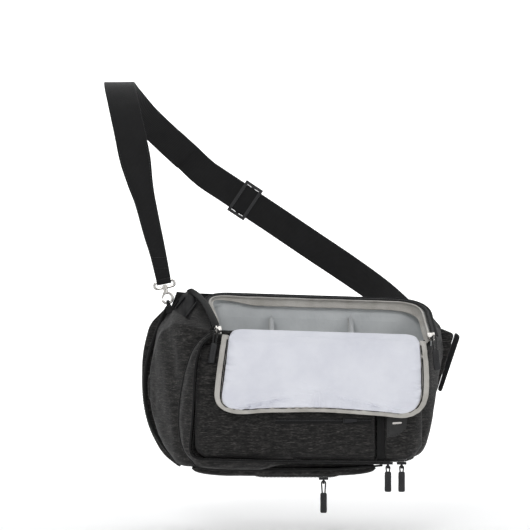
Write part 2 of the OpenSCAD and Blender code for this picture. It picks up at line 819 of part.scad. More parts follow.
main_shell();
shell_liner();
rim_binding();
body_zip_tape();
back_panel();
back_pad();
left_wing();
left_wing_binding();
right_wing();
right_wing_binding();
corner_patch();
hook_loop_webbing();
front_pocket();
pocket_flap();
pocket_piping_front();
pocket_piping_rear();
pocket_zip();
end_pocket();
end_pocket_patch();
patch_bar();
lower_zip();
base_pocket();
base_zip();
lid_panel();
lid_lining();
lid_band();
lid_zip_tape();
lid_hinge_strip();
left_slider();
left_pull_cord();
left_pull_grip();
right_slider();
right_pull_cord();
right_pull_grip();
pocket_slider();
pocket_slider_tab();
lower_slider_left();
lower_left_cord();
lower_left_grip();
lower_slider_right();
lower_right_cord();
lower_right_grip();
base_slider();
base_pull_cord();
base_pull_grip();
strap_front();
strap_back();
strap_tail();
strap_hook_fold();
strap_adjuster();
swivel_eye();
snap_hook();
hook_gate();
gate_pin();
divider_left();
divider_right();
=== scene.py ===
import math

import bmesh
import bpy
import numpy as np
from mathutils import Matrix, Vector, noise


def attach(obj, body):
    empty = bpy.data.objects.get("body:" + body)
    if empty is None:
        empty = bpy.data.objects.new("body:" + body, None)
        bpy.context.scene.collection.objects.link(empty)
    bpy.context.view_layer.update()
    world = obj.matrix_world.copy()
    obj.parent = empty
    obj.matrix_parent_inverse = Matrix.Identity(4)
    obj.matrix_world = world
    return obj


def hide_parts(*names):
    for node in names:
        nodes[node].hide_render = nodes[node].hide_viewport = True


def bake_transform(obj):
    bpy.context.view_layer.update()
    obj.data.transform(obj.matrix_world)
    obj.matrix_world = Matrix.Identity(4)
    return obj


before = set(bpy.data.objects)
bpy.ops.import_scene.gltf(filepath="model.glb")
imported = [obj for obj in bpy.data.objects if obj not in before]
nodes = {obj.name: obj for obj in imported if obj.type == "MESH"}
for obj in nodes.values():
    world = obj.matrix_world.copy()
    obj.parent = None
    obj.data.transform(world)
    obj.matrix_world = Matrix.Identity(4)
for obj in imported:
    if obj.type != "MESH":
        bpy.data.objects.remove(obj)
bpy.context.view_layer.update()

# Bag coordinates are millimetres: +X along the bag, +Y towards the wearer, +Z up.  The row frame
# has its origin where the strap rests on the shoulder.
MM = 0.001
SHOULDER = np.array([-226.0, 100.0, 490.0])

# The opening slopes up from the hinge line at its front to the back.  The lid turns about that line.
HINGE_AT = (28, -110, 176)
HINGE_SLOPE = 1.8
RIM_TILT = 24
LID_TURN = 233
HINGE = Matrix.Translation(HINGE_AT) @ Matrix.Rotation(math.radians(HINGE_SLOPE), 4, "Y")
RIM = HINGE @ Matrix.Rotation(math.radians(RIM_TILT), 4, "X")
LID = HINGE @ Matrix.Rotation(math.radians(RIM_TILT + LID_TURN), 4, "X")

# Depth of the back face, how far the opening's far left corner gapes, and steps round the rim
BACK_Y = -9.4
GAPE = 6.0
RIM_STEPS = 240
STRAP_WIDTH = 38.0


# ---------- numbers and curves ----------

def unit(v):
    v = np.asarray(v, float)
    return v / max(np.linalg.norm(v), 1e-9)


def rows(v):
    """Each row of v at unit length."""
    return v / np.maximum(np.linalg.norm(v, axis=1, keepdims=True), 1e-9)


def through(matrix, points):
    m = np.array(matrix)
    return np.asarray(points, float) @ m[:3, :3].T + m[:3, 3]


def smooth_line(points, n):
    """Catmull-Rom points through the given rows, n steps between each two."""
    p = np.asarray(points, float)
    out = []
    for i in range(len(p) - 1):
        a, b, c, d = p[max(i - 1, 0)], p[i], p[i + 1], p[min(i + 2, len(p) - 1)]
        for k in range(n):
            s = k / n
            out.append(0.5 * (2 * b + (c - a) * s + (2 * a - 5 * b + 4 * c - d) * s ** 2
                              + (3 * b - a - 3 * c + d) * s ** 3))
    out.append(p[-1])
    return np.array(out)


def soft(corners, n=8):
    """Closed outline with each corner (x, y, setback) rounded off."""
    out = []
    m = len(corners)
    for i, (x, y, r) in enumerate(corners):
        c = np.array([x, y])
        p = np.array(corners[i - 1][:2])
        q = np.array(corners[(i + 1) % m][:2])
        r = min(r, 0.48 * np.linalg.norm(p - c), 0.48 * np.linalg.norm(q - c))
        a, b = c + r * unit(p - c), c + r * unit(q - c)
        for k in range(n + 1):
            s = k / n
            out.append((1 - s) ** 2 * a + 2 * s * (1 - s) * c + s * s * b)
    return np.array(out)


def even(points, n, closed=False):
    """The same line with n points at even spacing."""
    p = np.asarray(points, float)
    if closed:
        p = np.vstack([p, p[:1]])
    step = np.concatenate([[0], np.cumsum(np.linalg.norm(np.diff(p, axis=0), axis=1))])
    where = np.linspace(0, step[-1], n + 1 if closed else n)
    out = np.stack([np.interp(where, step, p[:, k]) for k in range(p.shape[1])], axis=1)
    return out[:-1] if closed else out


def lumps(p, size, seed=0.0):
    """Smooth noise from -1 to 1 at a point in mm."""
    return noise.noise(Vector((p[0] / size + seed, p[1] / size + 2 * seed, p[2] / size - seed)))


ZIP = soft([(-122.2, -30, 0.1), (126.9, -30, 0.1), (118.9, 99, 34), (-134.2, 99, 26)], 24)


def rim_path(grow, from_v, n, spread=0.0):
    """Open line round the opening in the rim's frame, from the left end of v = from_v to the right.
    spread draws its far left corner out, as the gaping opening does."""
    p = even(ZIP, 1200, True)
    p[:, 0] -= spread * np.clip((p[:, 1] - 35) / 60, 0, 1) * np.clip((-p[:, 0] - 70) / 45, 0, 1)
    ahead = np.roll(p, -1, 0) - np.roll(p, 1, 0)
    p = p + grow * rows(np.stack([ahead[:, 1], -ahead[:, 0]], axis=1))
    p = p[p[:, 1] >= from_v]
    start = np.argmin(p[:, 1] + np.where(p[:, 0] > 0, 1e3, 0))
    p = np.roll(p, -start, 0)
    if p[1, 1] < p[0, 1] or p[5, 0] > 60:
        p = np.roll(p[::-1], 1, 0)
    return even(p, n)


def gaping_rim(grow, from_v, n=RIM_STEPS):
    """The rim's line as it gapes with the lid open."""
    return rim_path(grow, from_v, n, GAPE)


def at_height(line, w):
    """A line of the rim's plane, lifted to one height above it."""
    return np.column_stack([line, np.full(len(line), w)])


# ---------- meshes ----------

def build(name, points, faces, material, slot, body, stands_for=(), sharp=38.0, matrix=None):
    """A mesh in bag millimetres (or in matrix's frame) as a piece on a CAD body."""
    p = np.asarray(points, float)
    if matrix is not None:
        p = through(matrix, p)
    mesh = bpy.data.meshes.new(name)
    mesh.from_pydata(((p - SHOULDER) * MM).tolist(), [], [list(f) for f in faces])
    bm = bmesh.new()
    bm.from_mesh(mesh)
    bmesh.ops.remove_doubles(bm, verts=bm.verts, dist=1e-6)
    bmesh.ops.recalc_face_normals(bm, faces=bm.faces)
    bm.to_mesh(mesh)
    bm.free()
    obj = bpy.data.objects.new(name, mesh)
    bpy.context.scene.collection.objects.link(obj)
    return dress(obj, material, body, stands_for, sharp)


def dress(obj, material, body, stands_for=(), sharp=38.0):
    """Gives a piece its material, smooth shading and body, and hides the CAD nodes it stands for."""
    mesh = obj.data
    mesh.materials.clear()
    mesh.materials.append(material)
    mesh.polygons.foreach_set("use_smooth", [True] * len(mesh.polygons))
    mesh.set_sharp_from_angle(angle=math.radians(sharp))
    if body:
        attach(obj, body)
    if stands_for:
        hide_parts(*stands_for)
    return obj


def strips(rings, m, closed=False, caps=True):
    """Quads between rings of m points; closed joins the last ring to the first."""
    faces = []
    for i in range(rings if closed else rings - 1):
        for j in range(m):
            a, b = i * m + j, i * m + (j + 1) % m
            c, d = ((i + 1) % rings) * m + (j + 1) % m, ((i + 1) % rings) * m + j
            faces.append((a, b, c, d))
    if caps and not closed:
        faces.append(tuple(range(m - 1, -1, -1)))
        faces.append(tuple((rings - 1) * m + j for j in range(m)))
    return faces


def two_sided(front, back, columns, lines):
    """A closed sheet from two grids of points, columns of lines each, joined round their rim."""
    n = len(front)
    faces = []
    for i in range(columns - 1):
        for j in range(lines - 1):
            k = i * lines + j
            quad = (k, k + 1, k + lines + 1, k + lines)
            faces += [quad, tuple(v + n for v in quad[::-1])]
    rim = ([j for j in range(lines)] + [i * lines + lines - 1 for i in range(1, columns)]
           + [(columns - 1) * lines + j for j in range(lines - 2, -1, -1)]
           + [i * lines for i in range(columns - 2, 0, -1)])
    for k, v in enumerate(rim):
        w = rim[(k + 1) % len(rim)]
        faces.append((v, v + n, w + n, w))
    return np.vstack([front, back]), faces


def axes(path, normals, closed=False):
    """Unit vectors along, across and out from a path at each of its points."""
    p = np.asarray(path, float)
    if closed:
        along = rows(np.roll(p, -1, 0) - np.roll(p, 1, 0))
    else:
        along = rows(np.gradient(p, axis=0))
    across = rows(np.cross(along, np.broadcast_to(np.asarray(normals, float), p.shape)))
    return along, across, np.cross(across, along)


def sweep(path, normals, profile, closed=False, widths=None):
    """A closed profile of (across, out) points carried along a path."""
    p = np.asarray(path, float)
    along, across, out = axes(p, normals, closed)
    prof = np.asarray(profile, float)
    w = np.ones(len(p)) if widths is None else np.asarray(widths, float)
    grid = (p[:, None] + across[:, None] * (prof[None, :, 0:1] * w[:, None, None])
            + out[:, None] * prof[None, :, 1:2])
    return grid.reshape(-1, 3), strips(len(p), len(prof), closed)


def circle(r, n=10, flat=1.0):
    return [(r * math.cos(2 * math.pi * k / n), flat * r * math.sin(2 * math.pi * k / n))
            for k in range(n)]


def band(width, thick, n=5):
    """Profile of a flat tape with rounded edges, width 1 unit across when width is 1."""
    h, t = width / 2, thick / 2
    e = t / max(width, 1e-6) * (width if width > 1.5 else 0.0) or 0.03
    side = [(h - e + e * math.cos(a), t * math.sin(a))
            for a in np.linspace(-math.pi / 2, math.pi / 2, n)]
    other = [(-x, -y) for x, y in side]
    return side + other


def merged(groups):
    """Several (points, faces) meshes as one."""
    points, faces, shift = [], [], 0
    for p, f in groups:
        points.append(np.asarray(p, float))
        faces += [tuple(i + shift for i in face) for face in f]
        shift += len(p)
    return np.vstack(points), faces


def beads(path, normals, pitch, form):
    """Small closed forms in a row: form(centre, along, up) gives the four rings of one."""
    p = np.asarray(path, float)
    total = np.linalg.norm(np.diff(p, axis=0), axis=1).sum()
    n = max(int(total / pitch), 2)
    line = even(np.hstack([p, np.broadcast_to(np.asarray(normals, float), p.shape)]), n + 1)
    return merged([(form((a[:3] + b[:3]) / 2, unit(b[:3] - a[:3]), unit(a[3:])), strips(4, 6))
                   for a, b in zip(line[:-1], line[1:])])


def threads(path, normals, pitch=3.2, length=2.3, r=0.32, lift=0.1):
    """A row of stitches: short spindles of thread lying on the surface."""
    def spindle(centre, along, up):
        side = np.cross(along, up)
        ring = []
        for s, q in ((-0.5, 0.35), (-0.36, 1.0), (0.36, 1.0), (0.5, 0.35)):
            for k in range(6):
                c, d = math.cos(k * math.pi / 3), math.sin(k * math.pi / 3)
                ring.append(centre + up * lift + along * s * length + (side * c + up * d) * r * q)
        return ring
    return beads(path, normals, pitch, spindle)


def teeth(path, normals, pitch=1.7, wide=2.6, high=1.5):
    """Coil of a zip, as a row of rounded turns across the line."""
    turn = ((-0.5, -0.35), (-0.5, 0.2), (-0.25, 0.5), (0.25, 0.5), (0.5, 0.2), (0.5, -0.35))

    def tooth(centre, along, up):
        side = unit(np.cross(along, up))
        ring = []
        for s, q in ((-0.34, 0.55), (-0.2, 1.0), (0.2, 1.0), (0.34, 0.55)):
            for x, y in turn:
                ring.append(centre + along * s * pitch + side * x * wide * (0.9 + 0.1 * q)
                            + up * y * high * q)
        return ring
    return beads(path, normals, pitch, tooth)


def cushion(outline, y_front, y_back, crown, rim=3.0, rings=9, ripple=None):
    """A padded plate: closed outline in X and Z, y_back behind, front crowned towards -Y.
    The rings run in from the outline; ripple(point, share) adds to the crown."""
    o = np.asarray(outline, float)
    centre = o.mean(0)
    m = len(o)
    points = []
    half = (y_back - y_front) / 2
    mid = (y_back + y_front) / 2
    spans = np.linalg.norm(o - centre, axis=1)
    shares = [1 - (k / (rings - 1)) ** 1.35 for k in range(rings)]
    for side in (-1, 1):
        block = []
        for k, s in enumerate(shares):
            ring = centre + (o - centre) * max(s, 0.002)
            depth_in = (1 - s) * spans
            lift = np.sqrt(np.clip(1 - (1 - np.clip(depth_in / rim, 0, 1)) ** 2, 0, 1))
            rise = crown * (1 - s ** 2) if side < 0 else 0
            y = mid + side * (half * lift + rise)
            block.append(np.stack([ring[:, 0], y, ring[:, 1]], axis=1))
        points.append(block)
    front, back = points
    grid = front[::-1] + back[1:]
    p = np.vstack(grid)
    if ripple:
        p = np.array([q + np.array([0, ripple(q), 0]) if q[1] < mid - 0.4 * half else q for q in p])
    return p, strips(len(grid), m)


# ---------- materials ----------

class Shader:
    """A node material being put together."""

    def __init__(self, name, rough, metal=0.0, sheen=0.0, specular=0.35, coat=0.0):
        self.material = bpy.data.materials.new(name)
        self.material.use_nodes = True
        self.tree = self.material.node_tree
        self.bsdf = self.tree.nodes["Principled BSDF"]
        self.bsdf.inputs["Roughness"].default_value = rough
        self.bsdf.inputs["Metallic"].default_value = metal
        self.bsdf.inputs["Specular IOR Level"].default_value = specular
        self.bsdf.inputs["Sheen Weight"].default_value = sheen
        self.bsdf.inputs["Sheen Roughness"].default_value = 0.5
        self.bsdf.inputs["Coat Weight"].default_value = coat
        self.place = self.add("ShaderNodeTexCoord").outputs["Object"]

    def add(self, kind, **settings):
        node = self.tree.nodes.new(kind)
        for key, value in settings.items():
            setattr(node, key, value)
        return node

    def wire(self, a, b):
        self.tree.links.new(a, b)

    def scaled(self, scale, turn=(0, 0, 0)):
        node = self.add("ShaderNodeMapping")
        node.inputs["Scale"].default_value = scale
        node.inputs["Rotation"].default_value = [math.radians(a) for a in turn]
        self.wire(self.place, node.inputs["Vector"])
        return node.outputs["Vector"]

    def grain(self, scale, detail=3.0, turn=(0, 0, 0), rough=0.55, size=1.0):
        node = self.add("ShaderNodeTexNoise")
        node.inputs["Scale"].default_value = size
        node.inputs["Detail"].default_value = detail
        node.inputs["Roughness"].default_value = rough
        self.wire(self.scaled(scale, turn), node.inputs["Vector"])
        return node.outputs["Fac"]

    def wave(self, scale, direction="X", turn=(0, 0, 0), shift=0.0):
        node = self.add("ShaderNodeTexWave", wave_type="BANDS", bands_direction=direction)
        node.inputs["Scale"].default_value = 1.0
        node.inputs["Distortion"].default_value = shift
        node.inputs["Detail"].default_value = 1.0
        self.wire(self.scaled(scale, turn), node.inputs["Vector"])
        return node.outputs["Fac"]

    def cells(self, scale):
        node = self.add("ShaderNodeTexVoronoi", feature="DISTANCE_TO_EDGE")
        node.inputs["Scale"].default_value = 1.0
        self.wire(self.scaled(scale), node.inputs["Vector"])
        return node.outputs["Distance"]

    def maths(self, operation, a, b):
        node = self.add("ShaderNodeMath", operation=operation)
        for k, value in enumerate((a, b)):
            if isinstance(value, (int, float)):
                node.inputs[k].default_value = value
            else:
                self.wire(value, node.inputs[k])
        return node.outputs[0]

    def blend(self, share, a, b):
        node = self.add("ShaderNodeMix", data_type="FLOAT")
        self.wire(share, node.inputs[0])
        self.wire(a, node.inputs[2])
        self.wire(b, node.inputs[3])
        return node.outputs[0]

    def ramp(self, value, stops):
        node = self.add("ShaderNodeValToRGB")
        ramp = node.color_ramp
        while len(ramp.elements) < len(stops):
            ramp.elements.new(0.5)
        for element, (at, colour) in zip(ramp.elements, stops):
            element.position = at
            element.color = (*colour, 1)
        self.wire(value, node.inputs["Fac"])
        return node.outputs["Color"]

    def tint(self, colour, value, low, high):
        """Multiplies a colour by value, mapped to low..high."""
        shade = self.add("ShaderNodeMapRange")
        shade.inputs["To Min"].default_value = low
        shade.inputs["To Max"].default_value = high
        self.wire(value, shade.inputs["Value"])
        node = self.add("ShaderNodeMix", data_type="RGBA", blend_type="MULTIPLY")
        node.inputs[0].default_value = 1.0
        self.wire(colour, node.inputs[6])
        self.wire(shade.outputs[0], node.inputs[7])
        return node.outputs[2]

    def finish(self, colour, height=None, strength=0.3, depth=0.0004, rough=None):
        self.wire(colour, self.bsdf.inputs["Base Color"])
        if height is not None:
            bump = self.add("ShaderNodeBump")
            bump.inputs["Strength"].default_value = strength
            bump.inputs["Distance"].default_value = depth
            self.wire(height, bump.inputs["Height"])
            self.wire(bump.outputs["Normal"], self.bsdf.inputs["Normal"])
        if rough is not None:
            low, high, value = rough
            node = self.add("ShaderNodeMapRange")
            node.inputs["To Min"].default_value = low
            node.inputs["To Max"].default_value = high
            self.wire(value, node.inputs["Value"])
            self.wire(node.outputs[0], self.bsdf.inputs["Roughness"])
        return self.material


def level_share(s):
    """1 on faces that look up or down, 0 elsewhere, so that the yarns run level round the bag."""
    geometry = s.add("ShaderNodeNewGeometry")
    split = s.add("ShaderNodeSeparateXYZ")
    s.wire(geometry.outputs["Normal"], split.inputs[0])
    size = s.maths("ABSOLUTE", split.outputs[2], 0.0)
    return s.maths("GREATER_THAN", size, 0.8)


def heather():
    s = Shader("heather_fabric", 0.9, sheen=0.12, specular=0.2)
    level = level_share(s)
    long = s.blend(level, s.grain((90, 90, 520), 4), s.grain((90, 520, 90), 4))
    short = s.blend(level, s.grain((300, 300, 1400), 3), s.grain((300, 1400, 300), 3))
    mix = s.maths("ADD", s.maths("MULTIPLY", long, 0.5), s.maths("MULTIPLY", short, 0.5))
    colour = s.ramp(mix, [(0.36, (0.0048, 0.0048, 0.0049)), (0.47, (0.0135, 0.013, 0.0127)),
                          (0.56, (0.032, 0.0303, 0.029)), (0.68, (0.092, 0.087, 0.083))])
    colour = s.tint(colour, s.grain((14, 14, 14), 2), 0.8, 1.18)
    weave = s.maths("MULTIPLY", s.wave((330, 330, 0), "X"), s.wave((0, 0, 660), "Z"))
    height = s.maths("ADD", s.maths("MULTIPLY", weave, 0.5), short)
    return s.finish(colour, height, 0.55, 0.0005, (0.8, 0.97, short))


def dark_weave(name, base, rough, pitch, twill=0.0, sheen=0.1, rib_highlight=1.8, depth=0.0004):
    """Black woven goods: ribs across and along at the pitch in mm, painted deeper in the grooves and paler
    on the raised ribs (painted shade and painted highlight), with random paler and deeper patches.
    """
    s = Shader(name, rough, sheen=sheen, specular=0.18)
    per = 2 * math.pi / (pitch * MM) / 20
    ribs = s.wave((per, per, per), "DIAGONAL" if twill else "Z", (0, twill, 0), 0.4)
    cross = s.wave((per, 0, 0), "X")
    height = s.maths("ADD", s.maths("MULTIPLY", ribs, 0.7), s.maths("MULTIPLY", cross, 0.3))
    # painted shade in the rib grooves and painted highlight on the raised ribs
    colour = s.ramp(height, [(0.2, tuple(0.5 * c for c in base)), (0.62, base),
                             (0.95, tuple(rib_highlight * c for c in base))])
    colour = s.tint(colour, s.grain((60, 60, 60), 4), 0.7, 1.35)
    return s.finish(colour, height, 0.5, depth, (rough - 0.12, rough + 0.1, s.grain((40, 40, 40), 3)))


def lining_cloth(name, base, wrinkle_shade, sheen, weave_scale=420):
    s = Shader(name, 0.62, sheen=sheen, specular=0.3)
    fine = s.maths("MULTIPLY", s.wave((weave_scale, weave_scale, 0), "X"), s.wave((0, 0, weave_scale), "Z"))
    soft_noise = s.grain((26, 40, 26), 4)
    # Colour darker where the soft wrinkle noise dips, as the bump does: painted shade in the wrinkles.
    colour = s.ramp(soft_noise, [(0.3, wrinkle_shade), (0.62, base)])
    # slightly darker in the gaps of the fine weave: painted shade
    colour = s.tint(colour, fine, 0.965, 1.0)
    wrinkle = s.maths("ADD", soft_noise, s.maths("MULTIPLY", s.grain((120, 60, 60), 3), 0.25))
    height = s.maths("ADD", s.maths("MULTIPLY", fine, 0.02), wrinkle)
    return s.finish(colour, height, 0.55, 0.0035, (0.5, 0.74, soft_noise))


def band_cloth():
    s = Shader("light_band", 0.85, sheen=0.2, specular=0.2)
    ribs = s.wave((520, 520, 520), "DIAGONAL", (0, 0, 0), 0.6)
    # random darker patches, where this noise also lowers the bump
    blotch = s.grain((45, 45, 45), 5)
    colour = s.ramp(blotch, [(0.3, (0.43, 0.41, 0.375)), (0.6, (0.58, 0.56, 0.525))])
    # darker in the grooves between the ribs: painted shade
    colour = s.tint(colour, ribs, 0.86, 1.0)
    return s.finish(colour, s.maths("ADD", ribs, blotch), 0.45, 0.0004, (0.75, 0.95, blotch))


def mesh_cloth():
    s = Shader("mesh_pad", 0.85, sheen=0.15, specular=0.25)
    holes = s.cells((420, 420, 420))
    # Colour blackest in the middle of each hole and palest on the thread rims: painted shade in the holes
    # and painted highlight on the rims.
    colour = s.ramp(holes, [(0.03, (0.055, 0.055, 0.058)), (0.16, (0.022, 0.022, 0.024)),
                            (0.4, (0.004, 0.004, 0.0045))])
    colour = s.tint(colour, s.grain((30, 30, 30), 3), 0.75, 1.25)
    return s.finish(colour, s.maths("MULTIPLY", holes, -1.0), 0.8, 0.0012)


def metal(name, base, rough, scratch=0.5):
    s = Shader(name, rough, metal=1.0, specular=0.5)
    fine = s.grain((900, 140, 900), 4)
    spots = s.grain((120, 120, 120), 4)
    # Colour deepest on faces turned sideways and down and full on faces turned up: painted shade and
    # painted top light, read from the normal's height.
    top_light_from_normal = s.add("ShaderNodeSeparateXYZ")
    s.wire(s.add("ShaderNodeNewGeometry").outputs["Normal"], top_light_from_normal.inputs[0])
    level = s.maths("MULTIPLY", s.maths("ADD", top_light_from_normal.outputs[2], 1.0), 0.5)
    colour = s.ramp(level, [(0.10, tuple(0.45 * c for c in base)), (0.34, tuple(0.2 * c for c in base)),
                            (0.46, tuple(0.7 * c for c in base)), (0.62, base)])
    return s.finish(colour, fine, 0.12 * scratch, 0.0002, (rough - 0.08, rough + 0.16, spots))


def moulded(name, base, rough, grain_size=900):
    s = Shader(name, rough, specular=0.45)
    pebble = s.grain((grain_size, grain_size, grain_size), 3)
    worn = s.grain((70, 70, 70), 4)
    colour = s.ramp(worn, [(0.35, base), (0.72, tuple(2.0 * c for c in base))])
    return s.finish(colour, pebble, 0.22, 0.0003, (rough - 0.1, rough + 0.12, worn))


def braid():
    s = Shader("cord", 0.75, sheen=0.2, specular=0.3)
    a = s.wave((450, 450, 450), "DIAGONAL", (0, 0, 0))
    b = s.wave((450, 450, -450), "DIAGONAL", (0, 0, 0))
    height = s.maths("MULTIPLY", a, b)
    # Colour darker where the strands' product dips, as the bump does: painted shade in the braid's grooves.
    colour = s.ramp(height, [(0.1, (0.006, 0.006, 0.006)), (0.7, (0.03, 0.03, 0.031))])
    return s.finish(colour, height, 0.7, 0.0005, (0.6, 0.85, height))


M = {
    "heather_fabric": heather(),
    "black_webbing": dark_weave("black_webbing", (0.0075, 0.0075, 0.008), 0.72, 1.1, 28.0, 0.12),
    "black_binding": dark_weave("black_binding", (0.009, 0.009, 0.009), 0.8, 0.8, 0.0, 0.1),
    "nylon_patch": dark_weave("nylon_patch", (0.0055, 0.0055, 0.0062), 0.6, 0.7, 0.0, 0.0, 1.5, 0.0002),
    "lining": lining_cloth("lining", (0.80, 0.81, 0.87), (0.72, 0.73, 0.80), 0.25),
    "inner_lining": lining_cloth("inner_lining", (0.66, 0.68, 0.685), (0.56, 0.58, 0.59), 0.3, 300),
    "light_band": band_cloth(),
    "mesh_pad": mesh_cloth(),
    "zip_tape": dark_weave("zip_tape", (0.008, 0.008, 0.008), 0.78, 0.7, 0.0, 0.1),
    "zip_coil": moulded("zip_coil", (0.012, 0.012, 0.013), 0.42, 1500),
    "slider_metal": metal("slider_metal", (0.86, 0.83, 0.79), 0.22),
    "black_metal": metal("black_metal", (0.05, 0.05, 0.053), 0.42),
    "cord": braid(),
    "grip": moulded("grip", (0.010, 0.010, 0.011), 0.5),
    "patch_rubber": moulded("patch_rubber", (0.014, 0.0138, 0.0135), 0.6, 1600),
    "buckle_plastic": moulded("buckle_plastic", (0.011, 0.011, 0.012), 0.42, 1200),
    "thread": braid(),
    "light_thread": lining_cloth("light_thread", (0.46, 0.44, 0.40), (0.38, 0.36, 0.33), 0.1),
}


# ---------- the body ----------

# [x, front y, bottom z, top z at the front, top z at the back]
SLICES = [
    (-182, -24, 94, 122, 126), (-175, -38, 66, 156, 170), (-165, -58, 44, 178, 192),
    (-152, -78, 28, 187, 210), (-138, -94, 20, 187, 226), (-128, -99, 18.5, 185, 226),
    (-117, -103.5, 18, 183, 216), (-104, -106.6, 18, 181.3, 217.5), (-70, -107, 18, 180.2, 219),
    (-40, -107, 18, 179.4, 218.5), (10, -107, 18.4, 177.8, 218), (60, -107, 20.5, 176.2, 218.5),
    (96, -107, 24, 175.1, 217), (132, -104, 30, 174, 211), (150, -92, 46, 173, 205),
    (161, -70, 92, 171.5, 196), (171, -38, 142, 168, 185)
]


def section(s, inset, drop):
    """Closed Y-Z outline of one body slice, always with the same number of points."""
    x, yf, zb, ztf, ztb = s
    y0, y1, z0 = yf + inset, BACK_Y - inset, zb + inset
    deep = max(y1 - y0, 1.0)
    run = (ztb - ztf) / (BACK_Y - yf)
    corners = [(y1, z0, min(8, deep * 0.2)), (y0, z0, min(18, deep * 0.35)),
               (y0, ztf - drop + run * inset, 3.0), (y1, ztb - drop - run * inset, 2.0)]
    arcs = soft(corners, 6).reshape(4, 7, 2)
    out = []
    for k, steps in enumerate((14, 20, 14, 16)):
        out.extend(arcs[k])
        a, b = arcs[k][-1], arcs[(k + 1) % 4][0]
        out.extend(a + (b - a) * i / steps for i in range(1, steps))
    return np.array(out)


def loft(inset, drop, inward=False):
    """The body's skin through its slices, set in by inset, with rounded ends."""
    line = smooth_line(SLICES, 6)
    lo, hi = line[0, 0] + inset, line[-1, 0] - inset
    rings = []
    for s in line:
        if lo <= s[0] <= hi:
            o = section(s, inset, drop)
            rings.append(np.column_stack([np.full(len(o), s[0]), o]))
    for end, step in ((0, -1.2), (-1, 1.2)):
        for share, out in ((0.9, 1.0), (0.6, 1.6), (0.02, 1.8)):
            ring = rings[end] if share == 0.9 else base
            if share == 0.9:
                base = rings[end]
            c = base.mean(0)
            new = c + (base - c) * share
            new[:, 0] = c[0] + step * out
            rings.insert(0, new) if end == 0 else rings.append(new)
    m = len(rings[0])
    faces = strips(len(rings), m)
    return np.vstack(rings), [f[::-1] for f in faces] if inward else faces


def prism(grow, from_v, low, high, below=0.0):
    """A cutter through the opening, from low to high in the rim's frame; below also cuts that far
    straight down from its low end, a little further in."""
    o = gaping_rim(grow, from_v, 160)
    rings = [through(RIM, [(u, v, w) for u, v in o]) for w in (high, low)]
    if below:
        inner = gaping_rim(grow - 1.0, from_v + 1.0, 160)
        rings.append(through(RIM, [(u, v, low) for u, v in inner]) - np.array([0, 0, below]))
    return np.vstack(rings), strips(len(rings), len(o))


def carve(name, solid, cutter):
    """A boolean difference, done once and kept as a plain mesh, in bag millimetres."""
    pair = []
    for p, f in (solid, cutter):
        mesh = bpy.data.meshes.new(name)
        mesh.from_pydata(np.asarray(p).tolist(), [], [list(x) for x in f])
        bm = bmesh.new()
        bm.from_mesh(mesh)
        if p is cutter[0]:
            bmesh.ops.recalc_face_normals(bm, faces=bm.faces)
        bm.to_mesh(mesh)
        bm.free()
        obj = bpy.data.objects.new(name, mesh)
        bpy.context.scene.collection.objects.link(obj)
        pair.append(obj)
    mod = pair[0].modifiers.new("cut", "BOOLEAN")
    mod.operation = "DIFFERENCE"
    mod.solver = "EXACT"
    mod.object = pair[1]
    bpy.context.view_layer.update()
    out = bpy.data.meshes.new_from_object(
        pair[0].evaluated_get(bpy.context.evaluated_depsgraph_get()))
    p = np.array([v.co for v in out.vertices])
    f = [tuple(face.vertices) for face in out.polygons]
    for obj in pair:
        bpy.data.objects.remove(obj)
    return p, f


def fold(value, centre, width):
    """A smooth ridge of height 1 at centre."""
    return math.exp(-((value - centre) / width) ** 2)


def body_relief(q):
    """How far the outer fabric stands out (mm) at a point of the body."""
    x, y, z = q
    if y > BACK_Y - 3:
        return 0.0
    soft_relief = 0.9 * lumps(q, 46) + 0.45 * lumps(q, 17, 3)
    if x < -118:
        # a few long soft folds that run down the left end, and creases under the corner patch
        lean = x + 0.16 * (z - 110)
        soft_relief += 1.5 * fold(lean, -158, 7) - 1.2 * fold(lean, -147, 6) + 0.8 * fold(lean, -136, 5)
        soft_relief += 0.9 * lumps((x * 1.6, y, z * 0.6), 13, 5)
    if x > 125:
        soft_relief += 0.8 * lumps((x, y, z * 1.8), 20, 8)
    limit = -0.3 if (y < -102 and -122 < x < 142) else 2.5
    if z > 165 and y > -105 and -112 < x < 158:
        limit = min(limit, 0.4)
    return min(soft_relief, limit)


def outward(points, faces, relief):
    """Moves points along their own normals by relief(point)."""
    mesh = bpy.data.meshes.new("tmp")
    mesh.from_pydata(np.asarray(points).tolist(), [], [list(f) for f in faces])
    bm = bmesh.new()
    bm.from_mesh(mesh)
    bmesh.ops.recalc_face_normals(bm, faces=bm.faces)
    bm.normal_update()
    bm.verts.ensure_lookup_table()
    out = np.array([np.array(v.co) + np.array(v.normal) * relief(v.co) for v in bm.verts])
    bm.free()
    bpy.data.meshes.remove(mesh)
    return out


outer_points, outer_faces = loft(0, 0)
outer_points = outward(outer_points, outer_faces, body_relief)
inner_points, inner_faces = loft(4.4, 3, True)
shell = merged([(outer_points, outer_faces), (inner_points, inner_faces)])
shell = carve("shell", shell, prism(7.0, 5.5, -10, 60))
build("main_shell_fabric", *shell, M["heather_fabric"], "heather_fabric", "bag", ["main_shell"], 45)

pad_out = loft(4.7, 4)
pad_in_points, pad_in_faces = loft(6.6, 6, True)
pad_in_points = outward(pad_in_points, pad_in_faces, lambda q: 0.7 * lumps(q, 30) - 0.4)
lining = carve("liner", merged([pad_out, (pad_in_points, pad_in_faces)]), prism(2.4, 7.5, -5, 60, 20))
build("shell_lining", *lining, M["inner_lining"], "lining", "bag", ["shell_liner"], 50)


# ---------- the rim: light binding, tape and coil ----------

